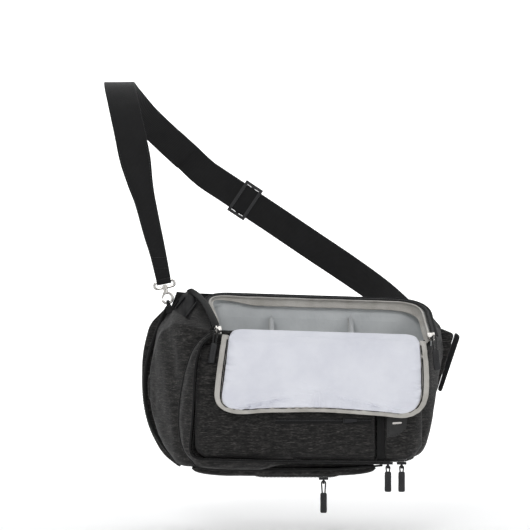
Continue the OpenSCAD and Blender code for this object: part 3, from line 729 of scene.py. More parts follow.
def rim_sheet(path, profile, matrix, wobble=0.0, seed=0.0):
    """A tape round the opening: profile rows are (outwards, up) from the path, closed."""
    p = np.column_stack([path, np.zeros(len(path))])
    points, faces = sweep(p, (0, 0, 1), profile)
    if wobble:
        points = points + np.array([[wobble * lumps(q, 16, seed), wobble * lumps(q, 13, seed + 2),
                                     wobble * lumps(q, 15, seed + 4)] for q in points])
    return through(matrix, points), faces


def thick_line(points, t):
    """Closed profile of thickness t round an open profile line."""
    p = even(smooth_line(points, 6), 18)
    along = np.gradient(p, axis=0)
    n = rows(np.stack([-along[:, 1], along[:, 0]], axis=1))
    return np.vstack([p + n * t / 2, (p - n * t / 2)[::-1]])


band_profile = thick_line([(6.0, -8.4), (3.2, -7.4), (1.7, -5.6), (1.0, -3.0), (1.0, -0.6), (1.9, 0.9),
                           (3.4, 0.9)], 1.1)
# The binding is tucked away along the left end, and hangs a little lower along the right one
round_rim = np.arange(RIM_STEPS) / (RIM_STEPS - 1)
tucked = np.interp(round_rim, [0, 0.2, 0.3, 1], [1, 1, 0, 0])[:, None]
side_path = gaping_rim(0.0, 9) * (1 - tucked) + gaping_rim(3.6, 9) * tucked
band_share = np.interp(round_rim, [0, 0.2, 0.27, 0.33, 0.72, 0.8, 1],
                       [0.12, 0.12, 0.5, 1, 1, 1.35, 1.35])
band_points, band_faces = rim_sheet(side_path, band_profile, Matrix.Identity(4), 0.35, 1.0)
low = np.minimum(band_points[:, 2] + 0.8, 0)
band_points[:, 2] += low * (np.repeat(band_share, len(band_profile)) - 1)
build("rim_light_band", through(RIM, band_points), band_faces, M["light_band"], "light_band", "bag",
      ["rim_binding"], 60)
seam_path = at_height(gaping_rim(1.6, 10, 260), -5.8)
seam_along = rows(np.gradient(seam_path, axis=0))
seam_normal = np.column_stack([-seam_along[:, 1], seam_along[:, 0], np.zeros(len(seam_path))])
flip = np.sign(np.einsum("ij,ij->i", seam_normal, np.array([0.0, 50.0, -5.8]) - seam_path))[:, None]
seam_points, seam_faces = threads(seam_path[85:], (seam_normal * flip)[85:], 2.6, 1.9, 0.26, 0.55)
build("rim_band_stitches", through(RIM, seam_points), seam_faces, M["light_thread"], "light_band",
      "bag")

fall = rim_sheet(gaping_rim(2.0, 10), [(0, -1.2), (0, -15), (0.8, -15), (0.8, -1.2)], RIM)
build("rim_lining_fall", *fall, M["inner_lining"], "lining", "bag")

tape_profile = [(-3.6, -0.3), (3.6, -0.3), (3.9, 0.1), (3.4, 0.5), (-3.2, 0.5), (-3.8, 0.1)]
tape = rim_sheet(gaping_rim(4.4, 6.5), tape_profile, RIM, 0.15)
coil = teeth(at_height(gaping_rim(4.2, 6.5), 0.8), (0, 0, 1))
build("body_zip_tape_cloth", *tape, M["zip_tape"], "zip_tape", "bag", ["body_zip_tape"])
build("body_zip_coil", through(RIM, coil[0]), coil[1], M["zip_coil"], "zip_tape", "bag")

# Welt where the shell's fabric turns in at the opening, and the zip's tail up to the left corner
welt = sweep(at_height(gaping_rim(8.0, 5.0), 0.6), (0, 0, 1), circle(1.1, 10, 0.8))
build("opening_welt", through(RIM, welt[0]), welt[1], M["black_binding"], "black_binding", "bag")
tail_line = smooth_line([(-98.5, -104.5, 184.5), (-102, -92, 193.5), (-107.5, -72, 203.5),
                         (-115, -46, 214.5), (-124, -24, 222.5), (-133, -13, 228)], 8)
tail_normal = smooth_line([(0.45, -0.45, 0.7), (0.4, -0.5, 0.7), (0.4, -0.5, 0.7), (0.35, -0.55, 0.7),
                           (0.3, -0.6, 0.7), (0.3, -0.6, 0.7)], 8)
tail_profile = thick_line([(-5.5, -0.8), (-3, 0.6), (0, 1.0), (3, 0.5), (5.2, -1.2)], 1.0)
tail = sweep(tail_line, tail_normal, tail_profile)
build("zip_tail", *tail, M["zip_tape"], "zip_tape", "bag")
tail_seam = sweep(tail_line + tail_normal * 1.0, tail_normal, circle(0.75, 8))
build("zip_tail_cord", *tail_seam, M["black_binding"], "black_binding", "bag")


# ---------- back panel and wings ----------

back_outline = even(soft([(-150, 214, 14), (-132, 224, 10), (150, 212, 30), (168, 186, 12),
                          (166, 132, 20), (155, 76, 20), (136, 26, 20), (80, 17, 20),
                          (-130, 14, 24), (-152, 34, 12)]), 120, True)
build("back_panel_cloth", *cushion(back_outline, -9.1, -5.0, 0.0, 2.0, 5), M["nylon_patch"],
      "nylon_patch", "bag", ["back_panel"])
pad_outline = even(soft([(-140, 208, 18), (142, 202, 26), (156, 172, 14), (153, 118, 22),
                         (126, 34, 20), (-126, 24, 18), (-142, 44, 14)]), 144, True)


def swollen(name, points, faces, pressure, cap, material, slot, body, stands_for, keep=None,
            after=None, frames=20):
    """A padded piece: blown up by a cloth simulation, held within cap metres of where it started,
    and relaxed once with a subdivision."""
    obj = build(name, points, faces, material, slot, None)
    start = np.array([v.co for v in obj.data.vertices])
    cloth = obj.modifiers.new("cloth", "CLOTH")
    cloth.settings.quality = 5
    cloth.settings.use_pressure = True
    cloth.settings.uniform_pressure_force = pressure
    cloth.settings.tension_stiffness = 12
    cloth.settings.compression_stiffness = 8
    cloth.settings.bending_stiffness = 0.4
    cloth.settings.effector_weights.gravity = 0.0
    cloth.collision_settings.use_collision = False
    cloth.point_cache.frame_start = 1
    cloth.point_cache.frame_end = frames
    scene = bpy.context.scene
    for number in range(1, frames + 1):
        scene.frame_set(number)
    done = bpy.data.meshes.new_from_object(
        obj.evaluated_get(bpy.context.evaluated_depsgraph_get()))
    moved = np.array([v.co for v in done.vertices]) - start
    size = np.linalg.norm(moved, axis=1, keepdims=True)
    moved *= np.minimum(1.0, cap / np.maximum(size, 1e-9))
    if keep is not None:
        moved = keep(start, moved)
    obj.modifiers.clear()
    obj.data = done
    done.vertices.foreach_set("co", (start + moved).astype(np.float32).ravel())
    scene.frame_set(1)
    if after is not None:
        p = np.array([v.co for v in obj.data.vertices])
        obj.data.vertices.foreach_set("co", after(p).astype(np.float32).ravel())
    sub = obj.modifiers.new("smooth", "SUBSURF")
    sub.levels = 1
    sub.render_levels = 1
    obj.data = bpy.data.meshes.new_from_object(
        obj.evaluated_get(bpy.context.evaluated_depsgraph_get()))
    obj.modifiers.clear()
    return dress(obj, material, body, stands_for, 180)


def bag_mm(p):
    return p / MM + SHOULDER


def channel_dent(points):
    """Sewn channels of the back pad: grooves pressed into its outer face."""
    q = bag_mm(points)
    for k in (-84, -28, 28, 84):
        dent = np.exp(-((q[:, 0] - k - 6) / 3.0) ** 2) * np.clip((q[:, 1] + 3.6) / 3.0, 0, 1)
        inside = np.clip((200 - q[:, 2]) / 12, 0, 1) * np.clip((q[:, 2] - 34) / 12, 0, 1)
        points[:, 1] -= dent * inside * 2.0 * MM
    points[:, 1] = np.minimum(points[:, 1], (0.9 - SHOULDER[1]) * MM)
    return points


pad_points, pad_faces = cushion(pad_outline, -4.8, -0.6, 0.0, 3.0, 12)
pad = swollen("back_pad_mesh", pad_points, pad_faces, 0.4, 0.0016, M["mesh_pad"], "mesh_pad",
              "bag", ["back_pad"], None, channel_dent, 12)

wing_outline = even(soft([(-152.5, 36, 6), (-152.5, 209, 5), (-164, 205, 8), (-183, 186, 10),
                          (-192, 150, 18), (-192.5, 100, 20), (-185, 60, 18), (-167, 27, 12),
                          (-146, 11, 5), (-143, 15, 2), (-152, 26, 3)]), 110, True)


def wing_relief(q):
    return -0.8 * abs(lumps((q[0], q[1], q[2] * 1.5), 15, 2)) - 0.3 * lumps(q, 6, 4)


wing = build("left_wing_pad", *cushion(wing_outline, -8.8, -2.6, 0.6, 3.4, 9, wing_relief),
             M["heather_fabric"], "heather_fabric", "bag", ["left_wing"], 70)
wing_line = smooth_line([(-160.5, -12, 207.5), (-165, -13, 199), (-176, -12.5, 171), (-184, -12, 146),
                         (-188, -12, 123), (-188, -12, 98), (-184, -12, 74), (-176, -12, 54),
                         (-165, -12, 37), (-150, -12, 20)], 6)
piping_profile = circle(2.1, 12)
build("left_wing_piping", *sweep(wing_line, (0, -1, 0), piping_profile), M["black_binding"],
      "black_binding", "bag", ["left_wing_binding"])
wing_trim = wing_line + np.array([-2.8, 0.6, 0])
build("left_wing_stitches", *threads(wing_trim[4:], (0, -1, 0), 3.4, 2.4, 0.3, 3.0), M["thread"],
      "black_binding", "bag")
right_outline = even(soft([(170, 182, 5), (189, 174, 4), (167.2, 102, 3), (161.8, 102, 2),
                            (167.4, 132, 2), (168.6, 160, 2)]), 60, True)
right_wing = build("right_wing_pad", *cushion(right_outline, -8.8, -2.6, 0.4, 2.6, 7, wing_relief),
                   M["heather_fabric"], "heather_fabric", "bag", ["right_wing"], 70)
bar_outline = even(soft([(190, 176, 2), (196.5, 171.5, 3), (173.5, 103, 3), (168.5, 105, 2)]), 70, True)
build("right_wing_webbing", *cushion(bar_outline, -9.2, -1.6, 0.2, 1.2, 6), M["black_webbing"],
      "black_webbing", "bag", ["right_wing_binding"], 60)


# ---------- corner patch and hook loop ----------

def on_shell(x, z, lift):
    """A point lift mm in front of the body's outer fabric, seen from the front, at x and z."""
    hit = front_of((x, z))
    return (x, hit[0] - lift * 0.8, z + lift * hit[1])


def front_of(xz):
    """(y of the outer fabric, lean) at x and z: on the front wall or on the sloped top."""
    x, z = xz
    line = smooth_line(SLICES, 6)
    s = np.array([np.interp(x, line[:, 0], line[:, k]) for k in range(5)])
    top_front, top_back = s[3], s[4]
    if z <= top_front:
        return s[1], 0.0
    share = min((z - top_front) / max(top_back - top_front, 1), 1)
    return s[1] + share * (BACK_Y - s[1]), 0.8


def patch_sheet(corners, lift, n=14):
    """A thin cloth patch laid on the shell between four corners given as (x, z)."""
    a, b, c, d = (np.array(v, float) for v in corners)
    points = []
    for i in range(n + 1):
        for j in range(n + 1):
            s, t = i / n, j / n
            q = (1 - s) * ((1 - t) * a + t * d) + s * ((1 - t) * b + t * c)
            edge = min(s, t, 1 - s, 1 - t)
            puff = lift * (0.35 + 0.65 * min(edge * 6, 1))
            puff += 0.7 * lumps((q[0], 0, q[1]), 9, 3) * min(edge * 5, 1)
            points.append(on_shell(q[0], q[1], puff))
    front = np.array(points)
    return two_sided(front, front + np.array([0, 1.6, -0.8]), n + 1, n + 1)


build("corner_patch_cloth", *patch_sheet([(-157, 205), (-149.5, 225), (-122, 222), (-131, 193)], 2.2),
      M["nylon_patch"], "nylon_patch", "bag", ["corner_patch"], 60)
ribs = []
for start, end, r in (((-135.5, 194), (-124, 211), 1.1), ((-149.5, 203), (-139, 217), 1.0),
                      ((-153, 204), (-147, 213), 0.8)):
    line = [on_shell(start[0] + (end[0] - start[0]) * k / 10,
                     start[1] + (end[1] - start[1]) * k / 10, 3.2) for k in range(11)]
    size = [0.35 if k in (0, 10) else 1.0 for k in range(11)]
    ribs.append(sweep(line, (0, -1, 0.4), circle(r, 10), widths=size))
build("corner_patch_ribs", *merged(ribs), M["nylon_patch"], "nylon_patch", "bag")

lean = math.radians(-11.6)
HOOK = Matrix.Translation((-165, -16, 238)) @ Matrix.Rotation(lean, 4, "Y")
loop_top = -24.6
loop_path = [(0, 9.5, -38), (0, 6.0, -33.5), (0, 5.1, -29.4), (0, 3.8, -26.2), (0, 0, loop_top + 0.9),
             (0, -3.8, -26.2), (0, -5.1, -29.4), (0, -6.2, -33.5), (0, -10, -39)]
loop = sweep(smooth_line(loop_path, 6), np.array([smooth_line(
    [(0, 1, 0.2), (0, 1, 0.1), (0, 1, 0.2), (0, 0.7, 0.7), (0, 0, 1), (0, -0.7, 0.7), (0, -1, 0.2),
     (0, -1, 0.1), (0, -1, 0.2)], 6)])[0], [(x * 3.8, y) for x, y in band(1.0, 1.2)],
    widths=smooth_line([[2.2], [1.8], [1.25], [1.0], [1.0], [1.0], [1.25], [1.9], [2.4]], 6)[:, 0])
build("hook_loop_cloth", *loop, M["black_webbing"], "black_webbing", "bag", ["hook_loop_webbing"],
      matrix=HOOK)


# ---------- front pocket ----------

def bump_box(t, power):
    return max(1 - abs(2 * t - 1) ** power, 0.0) ** (1 / power)


POCKET = [(-124, 46, 150), (-121, 38, 158), (-112, 32, 164), (-40, 31, 166), (60, 30, 164),
          (84, 30, 162), (88, 31, 160)]


def pocket_mesh(table, y_wall, deep, taper, relief, cols=90, lines=46, ends=(0.06, 0.03)):
    """A padded pocket on a wall: its front stands deep mm proud and rolls in at every edge."""
    t = np.array(table, float)
    xs = np.linspace(t[0, 0], t[-1, 0], cols)
    front, back = [], []
    for i, x in enumerate(xs):
        z0, z1 = np.interp(x, t[:, 0], t[:, 1]), np.interp(x, t[:, 0], t[:, 2])
        s = i / (cols - 1)
        a = min(s / ends[0], 1)
        b = min((1 - s) / ends[1], 1)
        edge = math.sqrt(max(1 - (1 - a) ** 2, 0)) * math.sqrt(max(1 - (1 - b) ** 2, 0))
        for j in range(lines):
            r = j / (lines - 1)
            z = z0 + (z1 - z0) * r
            d = deep * edge * bump_box(min(r / 0.16, 1) * 0.5, 2.2) * (1 - taper(r))
            d *= bump_box(0.5 + 0.5 * max((r - 0.9) / 0.1, 0), 2.0) if r > 0.9 else 1
            wall = y_wall(x) if callable(y_wall) else y_wall
            q = [x, wall - d, z]
            if d > 2:
                q[1] += relief(q)
            front.append(q)
            back.append([x, wall + 0.1, z])
    return two_sided(front, back, cols, lines)


def pocket_relief(q):
    x, y, z = q
    r = 0.8 * lumps((x * 0.5, y, z), 26, 1) + 0.35 * lumps((x, y, z * 2), 11, 6)
    r += 0.7 * fold(z, 62 - 0.04 * x, 4) - 0.5 * fold(z, 52 + 0.05 * x, 3)
    r += 0.6 * fold(z, 42 - 0.02 * x, 3)
    return max(r, -1.1)


def pocket_taper(r):
    return 0.78 * max((r - 0.42) / 0.58, 0) ** 1.4


pocket = pocket_mesh(POCKET, -107.3, 15.6, pocket_taper, pocket_relief)
build("front_pocket_cloth", *pocket, M["heather_fabric"], "heather_fabric", "bag", ["front_pocket"], 70)
flap_points = cushion(even(soft([(-33, 79.2, 2), (85, 79.2, 2), (85, 87, 2), (-33, 87, 2)]), 80, True),
                      -125.6, -123.5, 0.0, 1.0, 5)
build("pocket_flap_cloth", *flap_points, M["heather_fabric"], "heather_fabric", "bag", ["pocket_flap"])
zip_groups = []
for z in (74.6, 79.0):
    zip_groups.append(sweep([(x, -122.9, z) for x in np.linspace(-30, 82, 40)], (0, -1, 0),
                            [(x * 1.9, y * 0.5) for x, y in band(2.0, 1.4)]))
build("pocket_zip_tapes", *merged(zip_groups), M["zip_tape"], "zip_tape", "bag", ["pocket_zip"])
pocket_coil = teeth([(x, -123.3, 77) for x in np.linspace(-30, 82, 40)], (0, -1, 0), 1.6, 2.2, 1.2)
build("pocket_zip_coil", *pocket_coil, M["zip_coil"], "zip_tape", "bag")
front_piping = smooth_line([(-104, -112, 175), (-114, -116, 168), (-121, -119, 152),
                            (-124.5, -119.5, 128), (-125.5, -120, 100), (-127.5, -120, 72),
                            (-129.5, -118, 52), (-129, -117, 38), (-120, -118, 31.5),
                            (-104, -121, 30.5), (-40, -123.4, 29), (40, -123.4, 27.5),
                            (96, -122.0, 26.5)], 6)
rear_piping = smooth_line([(-104, -108, 181), (-122, -106, 165), (-132, -102, 145), (-139, -98.5, 118),
                           (-143, -95.5, 90), (-143, -96, 62), (-138, -99, 42), (-128, -103, 28),
                           (-112, -108, 19), (-40, -109.4, 17.5), (40, -109.2, 18.5), (96, -108.4, 23)], 6)
for label, line, node in (("front", front_piping, "pocket_piping_front"),
                          ("rear", rear_piping, "pocket_piping_rear")):
    build(f"pocket_seam_{label}", *sweep(line, (0, -1, 0.1), circle(1.25, 10)), M["black_binding"],
          "black_binding", "bag", [node])
top_stitch = front_piping[10:] + np.array([3.6, -2.4, 1.6])
build("pocket_stitches_front", *threads(top_stitch, (0, -1, 0), 3.0, 2.1, 0.26), M["thread"],
      "black_binding", "bag")

# Gusset between the two seams, a soft fold of fabric round the pocket's left and lower edges
FOLDS = 140
ACROSS = 14
LOWER_ZIP_START = -14
at = np.linspace(0, 1, FOLDS)
gusset_normal = rows(np.column_stack([np.interp(at, [0, 0.3, 0.42, 0.5, 1], [-0.7, -0.8, -0.5, 0, 0]),
                                      np.interp(at, [0, 0.42, 0.5, 1], [-0.6, -0.6, -0.75, -0.75]),
                                      np.interp(at, [0, 0.32, 0.46, 1], [0.1, 0, -0.6, -0.6])]))
gusset = []
for a, b, out in zip(even(front_piping, FOLDS), even(rear_piping, FOLDS), gusset_normal):
    if a[0] > LOWER_ZIP_START and a[2] < 60:
        break
    # it narrows to nothing before the lower zip begins
    b = a + (b - a) * (min(max((LOWER_ZIP_START - a[0]) / 24, 0.08), 1) if a[2] < 60 else 1)
    for t in np.linspace(0, 1, ACROSS):
        q = a + (b - a) * t
        crease = 0.9 * lumps(q, 12, 9) * min(t, 1 - t) * 4
        gusset.append(q + out * (2.4 * math.sin(math.pi * t) + crease))
    for t in np.linspace(1, 0, ACROSS):
        gusset.append(a + (b - a) * t - out * 1.1)
build("pocket_gusset", gusset, strips(len(gusset) // (2 * ACROSS), 2 * ACROSS),
      M["heather_fabric"], "heather_fabric", "bag", sharp=80)


# ---------- end pocket, its patch, base pocket and the lower zips ----------

def end_wall(x):
    return -107.3 + max(0, (x - 124) * 0.45)


END = [(97, 29, 156), (102, 28.5, 158), (124, 30, 158), (134, 34, 156), (143, 45, 149)]


def end_taper(r):
    return 0.75 * max((r - 0.45) / 0.55, 0) ** 1.3


end_points = pocket_mesh(END, end_wall, 14.4, end_taper,
                         lambda q: 0.6 * lumps((q[0], q[1], q[2] * 1.5), 14, 7), 44, 46, (0.09, 0.42))
build("end_pocket_cloth", *end_points, M["heather_fabric"], "heather_fabric", "bag", ["end_pocket"], 70)
TURN = Matrix.Translation((112, -121.9, 71)) @ Matrix.Rotation(math.radians(6.5), 4, "Z")
patch_line = even(soft([(-12, 15, 2), (13, 15, 2), (13, -3, 2), (-2, -14, 2), (-12, -14, 2)]), 80, True)
build("end_patch_rubber", *cushion(patch_line, -1.1, 0.3, 0.1, 0.9, 5), M["patch_rubber"],
      "patch_rubber", "bag", ["end_pocket_patch"], matrix=TURN)
inset_line = [(x * 0.86, -1.25, z * 0.86) for x, z in patch_line]
build("end_patch_stitches", *threads(inset_line, (0, -1, 0), 2.6, 1.8, 0.22), M["thread"],
      "black_binding", "bag", matrix=TURN)
# A black strip laid in the gap between the front and end pockets, where that recess lies in shade: it
# stands for the shade, not a binding.
gap_shade_strip = smooth_line([(93.5, -113.5, 160), (93.5, -117, 120), (93.5, -119, 90), (93.5, -119, 60),
                         (93.5, -117, 36), (93.5, -112, 29)], 6)
build("pocket_gap_shade_strip", *sweep(gap_shade_strip, (0, -1, 0), [(x * 9, y) for x, y in band(1.0, 1.4)]),
      M["black_binding"], "black_binding", "bag")


def base_mesh():
    """The base pocket's bulge under the body: a shallow bag closed against the shell's floor."""
    cols, lines = 70, 30
    points = []
    for i in range(cols):
        s = i / (cols - 1)
        x = -128 + 216 * s
        end = math.sqrt(max(1 - abs(2 * s - 1) ** 5, 0))
        for j in range(lines):
            a = math.pi * j / (lines - 1)
            y = -63 - 43 * math.copysign(abs(math.cos(a)) ** 0.35, math.cos(a))
            drop = 10.0 * math.sin(a) ** 0.45 * end if 0 < j < lines - 1 else 0
            q = np.array([x, y, 18.6 - drop])
            if drop > 1:
                q[2] += 0.5 * lumps(q, 22, 2)
            points.append(q)
    front = np.array(points)
    return two_sided(front, front + np.array([0, 0, 0.8]), cols, lines)


build("base_pocket_cloth", *base_mesh(), M["heather_fabric"], "heather_fabric", "bag", ["base_pocket"], 70)


def flat_zip(label, at, length, node):
    """Two tapes and their coil under the body, sinking into the cloth at both ends."""
    x0, y0, z0 = at
    xs = np.linspace(x0, x0 + length, 80)
    sink = 4.5 * (1 - np.clip(np.minimum(xs - x0, x0 + length - xs) / 16, 0, 1)) ** 2
    tapes = [sweep([(x, y0 + side * 3.1, z0 + 0.2 + up) for x, up in zip(xs, sink)], (0, 0, -1),
                   [(a * 1.75, b * 0.6) for a, b in band(2.0, 1.2)]) for side in (-1, 1)]
    build(f"{label}_tapes", *merged(tapes), M["zip_tape"], "zip_tape", "bag", [node])
    coil_line = [(x, y0, z0 - 0.7 + up) for x, up in zip(xs, sink)]
    build(f"{label}_coil", *teeth(coil_line, (0, 0, -1), 1.6, 2.6, 1.3), M["zip_coil"], "zip_tape", "bag")


flat_zip("base_zip", (-60, -98, 8.9), 110, "base_zip")
flat_zip("lower_zip", (-10, -112.4, 28.2), 142, "lower_zip")


# ---------- lid ----------

def lid_warp(p):
    """Soft sag of the hanging lid, in its own frame: the free edge waves and the middle bows."""
    p = np.array(p, float)
    u, v = p[:, 0], p[:, 1]
    far = np.clip(v / 99, 0, 1)
    dv = far ** 2 * (-2.4 * np.exp(-((u - 5) / 45) ** 2) + 2.2 * np.exp(-((u - 96) / 22) ** 2)
                     + 2.8 * np.exp(-((u + 100) / 22) ** 2) - 4.4)
    side = np.sin(np.clip(v / 99, 0, 1) * math.pi)
    du = side * (3.0 * np.clip((u - 60) / 60, 0, 1) - 1.2 * np.clip((-u - 60) / 60, 0, 1))
    du = du + (5.0 + 1.0 * far) * np.clip((-u - 50) / 60, 0, 1)
    du = du - (1 - far) ** 2 * 7.0 * np.clip((u - 60) / 60, 0, 1)
    du = du + far ** 4 * 2.5 * np.clip((u - 60) / 50, 0, 1)
    dw = -2.0 * far * np.exp(-((u - 108) / 16) ** 2) + 0.7 * far * np.sin(u / 17)
    return np.column_stack([u + du, v + dv, p[:, 2] + dw])


def on_lid(points):
    return through(LID, lid_warp(points))


def pillow_edge(n):
    """Outline of the lining's pillow, which laps further over the band along the free edge."""
    line = rim_path(-7.2, 1.5, n)
    line[:, 1] += 1.8 * np.clip((line[:, 1] - 60) / 30, 0, 1)
    return line


panel = cushion(rim_path(-6.5, 9, 220), 0.0, 2.6, 0.0, 2.0, 8)
panel_points = np.column_stack([panel[0][:, 0], panel[0][:, 2], 3.5 - panel[0][:, 1]])
panel_points[:, 2] += np.array([0.5 * lumps(q, 25, 2) for q in panel_points]) * 0.6
build("lid_panel_cloth", on_lid(panel_points), panel[1], M["heather_fabric"], "heather_fabric", "lid",
      ["lid_panel"], 60)

lid_tape = sweep(at_height(rim_path(-5.2, 11, RIM_STEPS), 0.0), (0, 0, 1),
                 [(-4.6, -0.4), (3.4, -0.4), (3.8, 0), (3.4, 0.5), (-4.6, 0.5)])
build("lid_zip_tape_cloth", on_lid(lid_tape[0]), lid_tape[1], M["zip_tape"], "zip_tape", "lid",
      ["lid_zip_tape"])
lid_coil = teeth(at_height(rim_path(-2.2, 11, RIM_STEPS), 0.5), (0, 0, 1), 1.7, 1.6, 1.4)
build("lid_zip_coil", on_lid(lid_coil[0]), lid_coil[1], M["zip_coil"], "zip_tape", "lid")

# Places where the lid's binding is crumpled, as (u, v, radius)
crumple = [(108, 90, 17), (112, 20, 12), (-104, 88, 12)]


def band_wobble(q):
    amount = 0.25
    for u, v, size in crumple:
        amount += 0.9 * math.exp(-((q[0] - u) ** 2 + (q[1] - v) ** 2) / size ** 2)
    return amount


lid_band_profile = thick_line([(3.4, 2.2), (3.7, 0.8), (3.0, -0.5), (1.2, -1.1), (-1.2, -1.0),
                               (-2.8, -0.5), (-3.6, 0.3)], 1.0)
lid_band = sweep(at_height(rim_path(-4.4, 4, 320), -2.0), (0, 0, 1), lid_band_profile)
band_points = np.array([q + band_wobble(q) * np.array([0.7 * lumps(q, 5, 1), 0.7 * lumps(q, 6, 2),
                                                       1.2 * lumps(q, 5, 3)]) for q in lid_band[0]])
build("lid_light_band", on_lid(band_points), lid_band[1], M["light_band"], "light_band", "lid",
      ["lid_band"], 60)
lid_stitches = threads(at_height(rim_path(-4.0, 6, 320), -3.1), (0, 0, -1), 2.7, 1.9, 0.24, 0.25)
build("lid_band_stitches", on_lid(lid_stitches[0]), lid_stitches[1], M["light_thread"], "light_band",
      "lid")

# A thin black cord round the pillow's edge, in the gap between the band and the lining, where that gap lies
# in shade: it stands for that shade.
gap_shade_cord = sweep(at_height(pillow_edge(320), -3.0)[6:-6], (0, 0, 1), circle(0.8, 8))
build("lid_gap_shade_cord", on_lid(gap_shade_cord[0]), gap_shade_cord[1], M["black_binding"], "black_binding", "lid")

# The padded lining: a pillow that swells off the lid and puckers at its sewn edge
pillow = cushion(pillow_edge(200), 0.0, 5.0, 0.0, 5.0, 14)
pillow_points = np.column_stack([pillow[0][:, 0], pillow[0][:, 2], pillow[0][:, 1] - 5.8])


def lid_frame(points):
    return through(LID.inverted(), bag_mm(points))


def pillow_after(points):
    """Pleats round the pillow's sewn edge and broad swells in its middle, then the lid's sag."""
    q = lid_frame(points)
    front = np.clip((-1.5 - q[:, 2]) / 2.0, 0, 1)
    line = pillow_edge(400)
    out = q.copy()
    for i in np.flatnonzero(front > 0):
        gaps = (line[:, 0] - q[i, 0]) ** 2 + (line[:, 1] - q[i, 1]) ** 2
        k = int(np.argmin(gaps))
        near = math.exp(-(math.sqrt(gaps[k]) / 12.0) ** 1.5)
        along = k * 1.15
        strength = 0.35 + 0.65 * abs(noise.noise(Vector((along / 40.0, 0.3, 1.7)))) * 2
        pleat = (noise.noise(Vector((along / 4.2, 0.5, 0.0)))
                 + 0.5 * noise.noise(Vector((along / 2.1, 4.5, 0.0))))
        out[i, 2] -= front[i] * near * pleat * 7.0 * strength
        broad = lumps((q[i, 0], q[i, 1], 0), 38, 2) * 3.4 + lumps((q[i, 0], q[i, 1], 0), 17, 5) * 1.6
        out[i, 2] -= front[i] * (1 - near) * (1.6 + broad)
    out[:, 2] = np.clip(out[:, 2], -9.6, 0.6)
    warped = on_lid(out)
    return (warped - SHOULDER) * MM


def pillow_keep(start, moved):
    """Holds the pillow's hidden side against the lid."""
    q = lid_frame(start)
    back = q[:, 2] > -0.8
    moved[back] *= 0.2
    return moved


lid_pillow = swollen("lid_lining_pad", through(LID, pillow_points), pillow[1], 3.0, 0.006,
                     M["lining"], "lining", "lid", ["lid_lining"], pillow_keep, pillow_after, 20)

# Hinge fold: lining and outer fabric roll over the hinge line from the body to the lid
HINGE_FROM = -111
HINGE_TO = 110
roll = [(9.0, -9.0), (7.5, -2.0), (5.0, 1.4), (1.5, 2.6)]
rim_roll = [through(RIM, [(0, v, w)])[0] for v, w in roll]
lid_roll = [through(LID, [(0, v, w)])[0] for v, w in ((6.0, -4.6), (12.0, -5.6), (18.0, -5.4))]
roll_line = smooth_line([(p[1], p[2]) for p in rim_roll + lid_roll], 5)
columns = 90
fold_points = []
for i in range(columns):
    u = HINGE_FROM + (HINGE_TO - HINGE_FROM) * i / (columns - 1)
    from_end = min(u - HINGE_FROM, HINGE_TO - u) / 16.0
    squeeze = math.sqrt(max(1 - (1 - min(from_end, 1)) ** 2, 0))
    for k, (y, z) in enumerate(roll_line):
        tilt = -math.tan(math.radians(HINGE_SLOPE)) * u
        middle = math.sin(math.pi * k / (len(roll_line) - 1))
        ripple_height = 0.8 * lumps((u, k * 2.0, 0), 16, 5) * middle
        low = (1 - squeeze) * min(max((z - 173) / 5.0, 0), 1) * 7.0
        fold_points.append((HINGE_AT[0] + u, y - ripple_height, z + tilt - low))
fold_front = np.array(fold_points)
hinge_sheet = two_sided(fold_front, fold_front + np.array([0, 1.2, -1.0]), columns, len(roll_line))
hinge = build("lid_hinge_fold", *hinge_sheet, M["lining"], "lining", None, ["lid_hinge_strip"], 80)


def point(p):
    """A point of the bag in the row frame, in metres."""
    return tuple((np.asarray(p, float) - SHOULDER) * MM)


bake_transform(hinge)


# ---------- sliders, cords and grips ----------

def keep_node(name, material, bevel=0.0):
    """A CAD node whose shape is right: better material, softened edges."""
    obj = nodes[name]
    obj.data.materials.clear()
    obj.data.materials.append(material)
    obj.data.polygons.foreach_set("use_smooth", [True] * len(obj.data.polygons))
    obj.data.set_sharp_from_angle(angle=math.radians(32))
    if bevel:
        mod = obj.modifiers.new("edges", "BEVEL")
        mod.width = bevel
        mod.segments = 3
        mod.limit_method = "ANGLE"
        mod.angle_limit = math.radians(40)


for name in ("swivel_eye", "snap_hook", "hook_gate", "gate_pin"):
    keep_node(name, M["slider_metal"])
for name in ("left_slider", "right_slider"):
    keep_node(name, M["slider_metal"], 0.00035)
for name in ("lower_slider_left", "lower_slider_right", "base_slider"):
    keep_node(name, M["black_metal"], 0.00035)
keep_node("patch_bar", M["slider_metal"], 0.0003)
keep_node("pocket_slider", M["black_metal"], 0.0003)
keep_node("pocket_slider_tab", M["black_metal"], 0.0004)


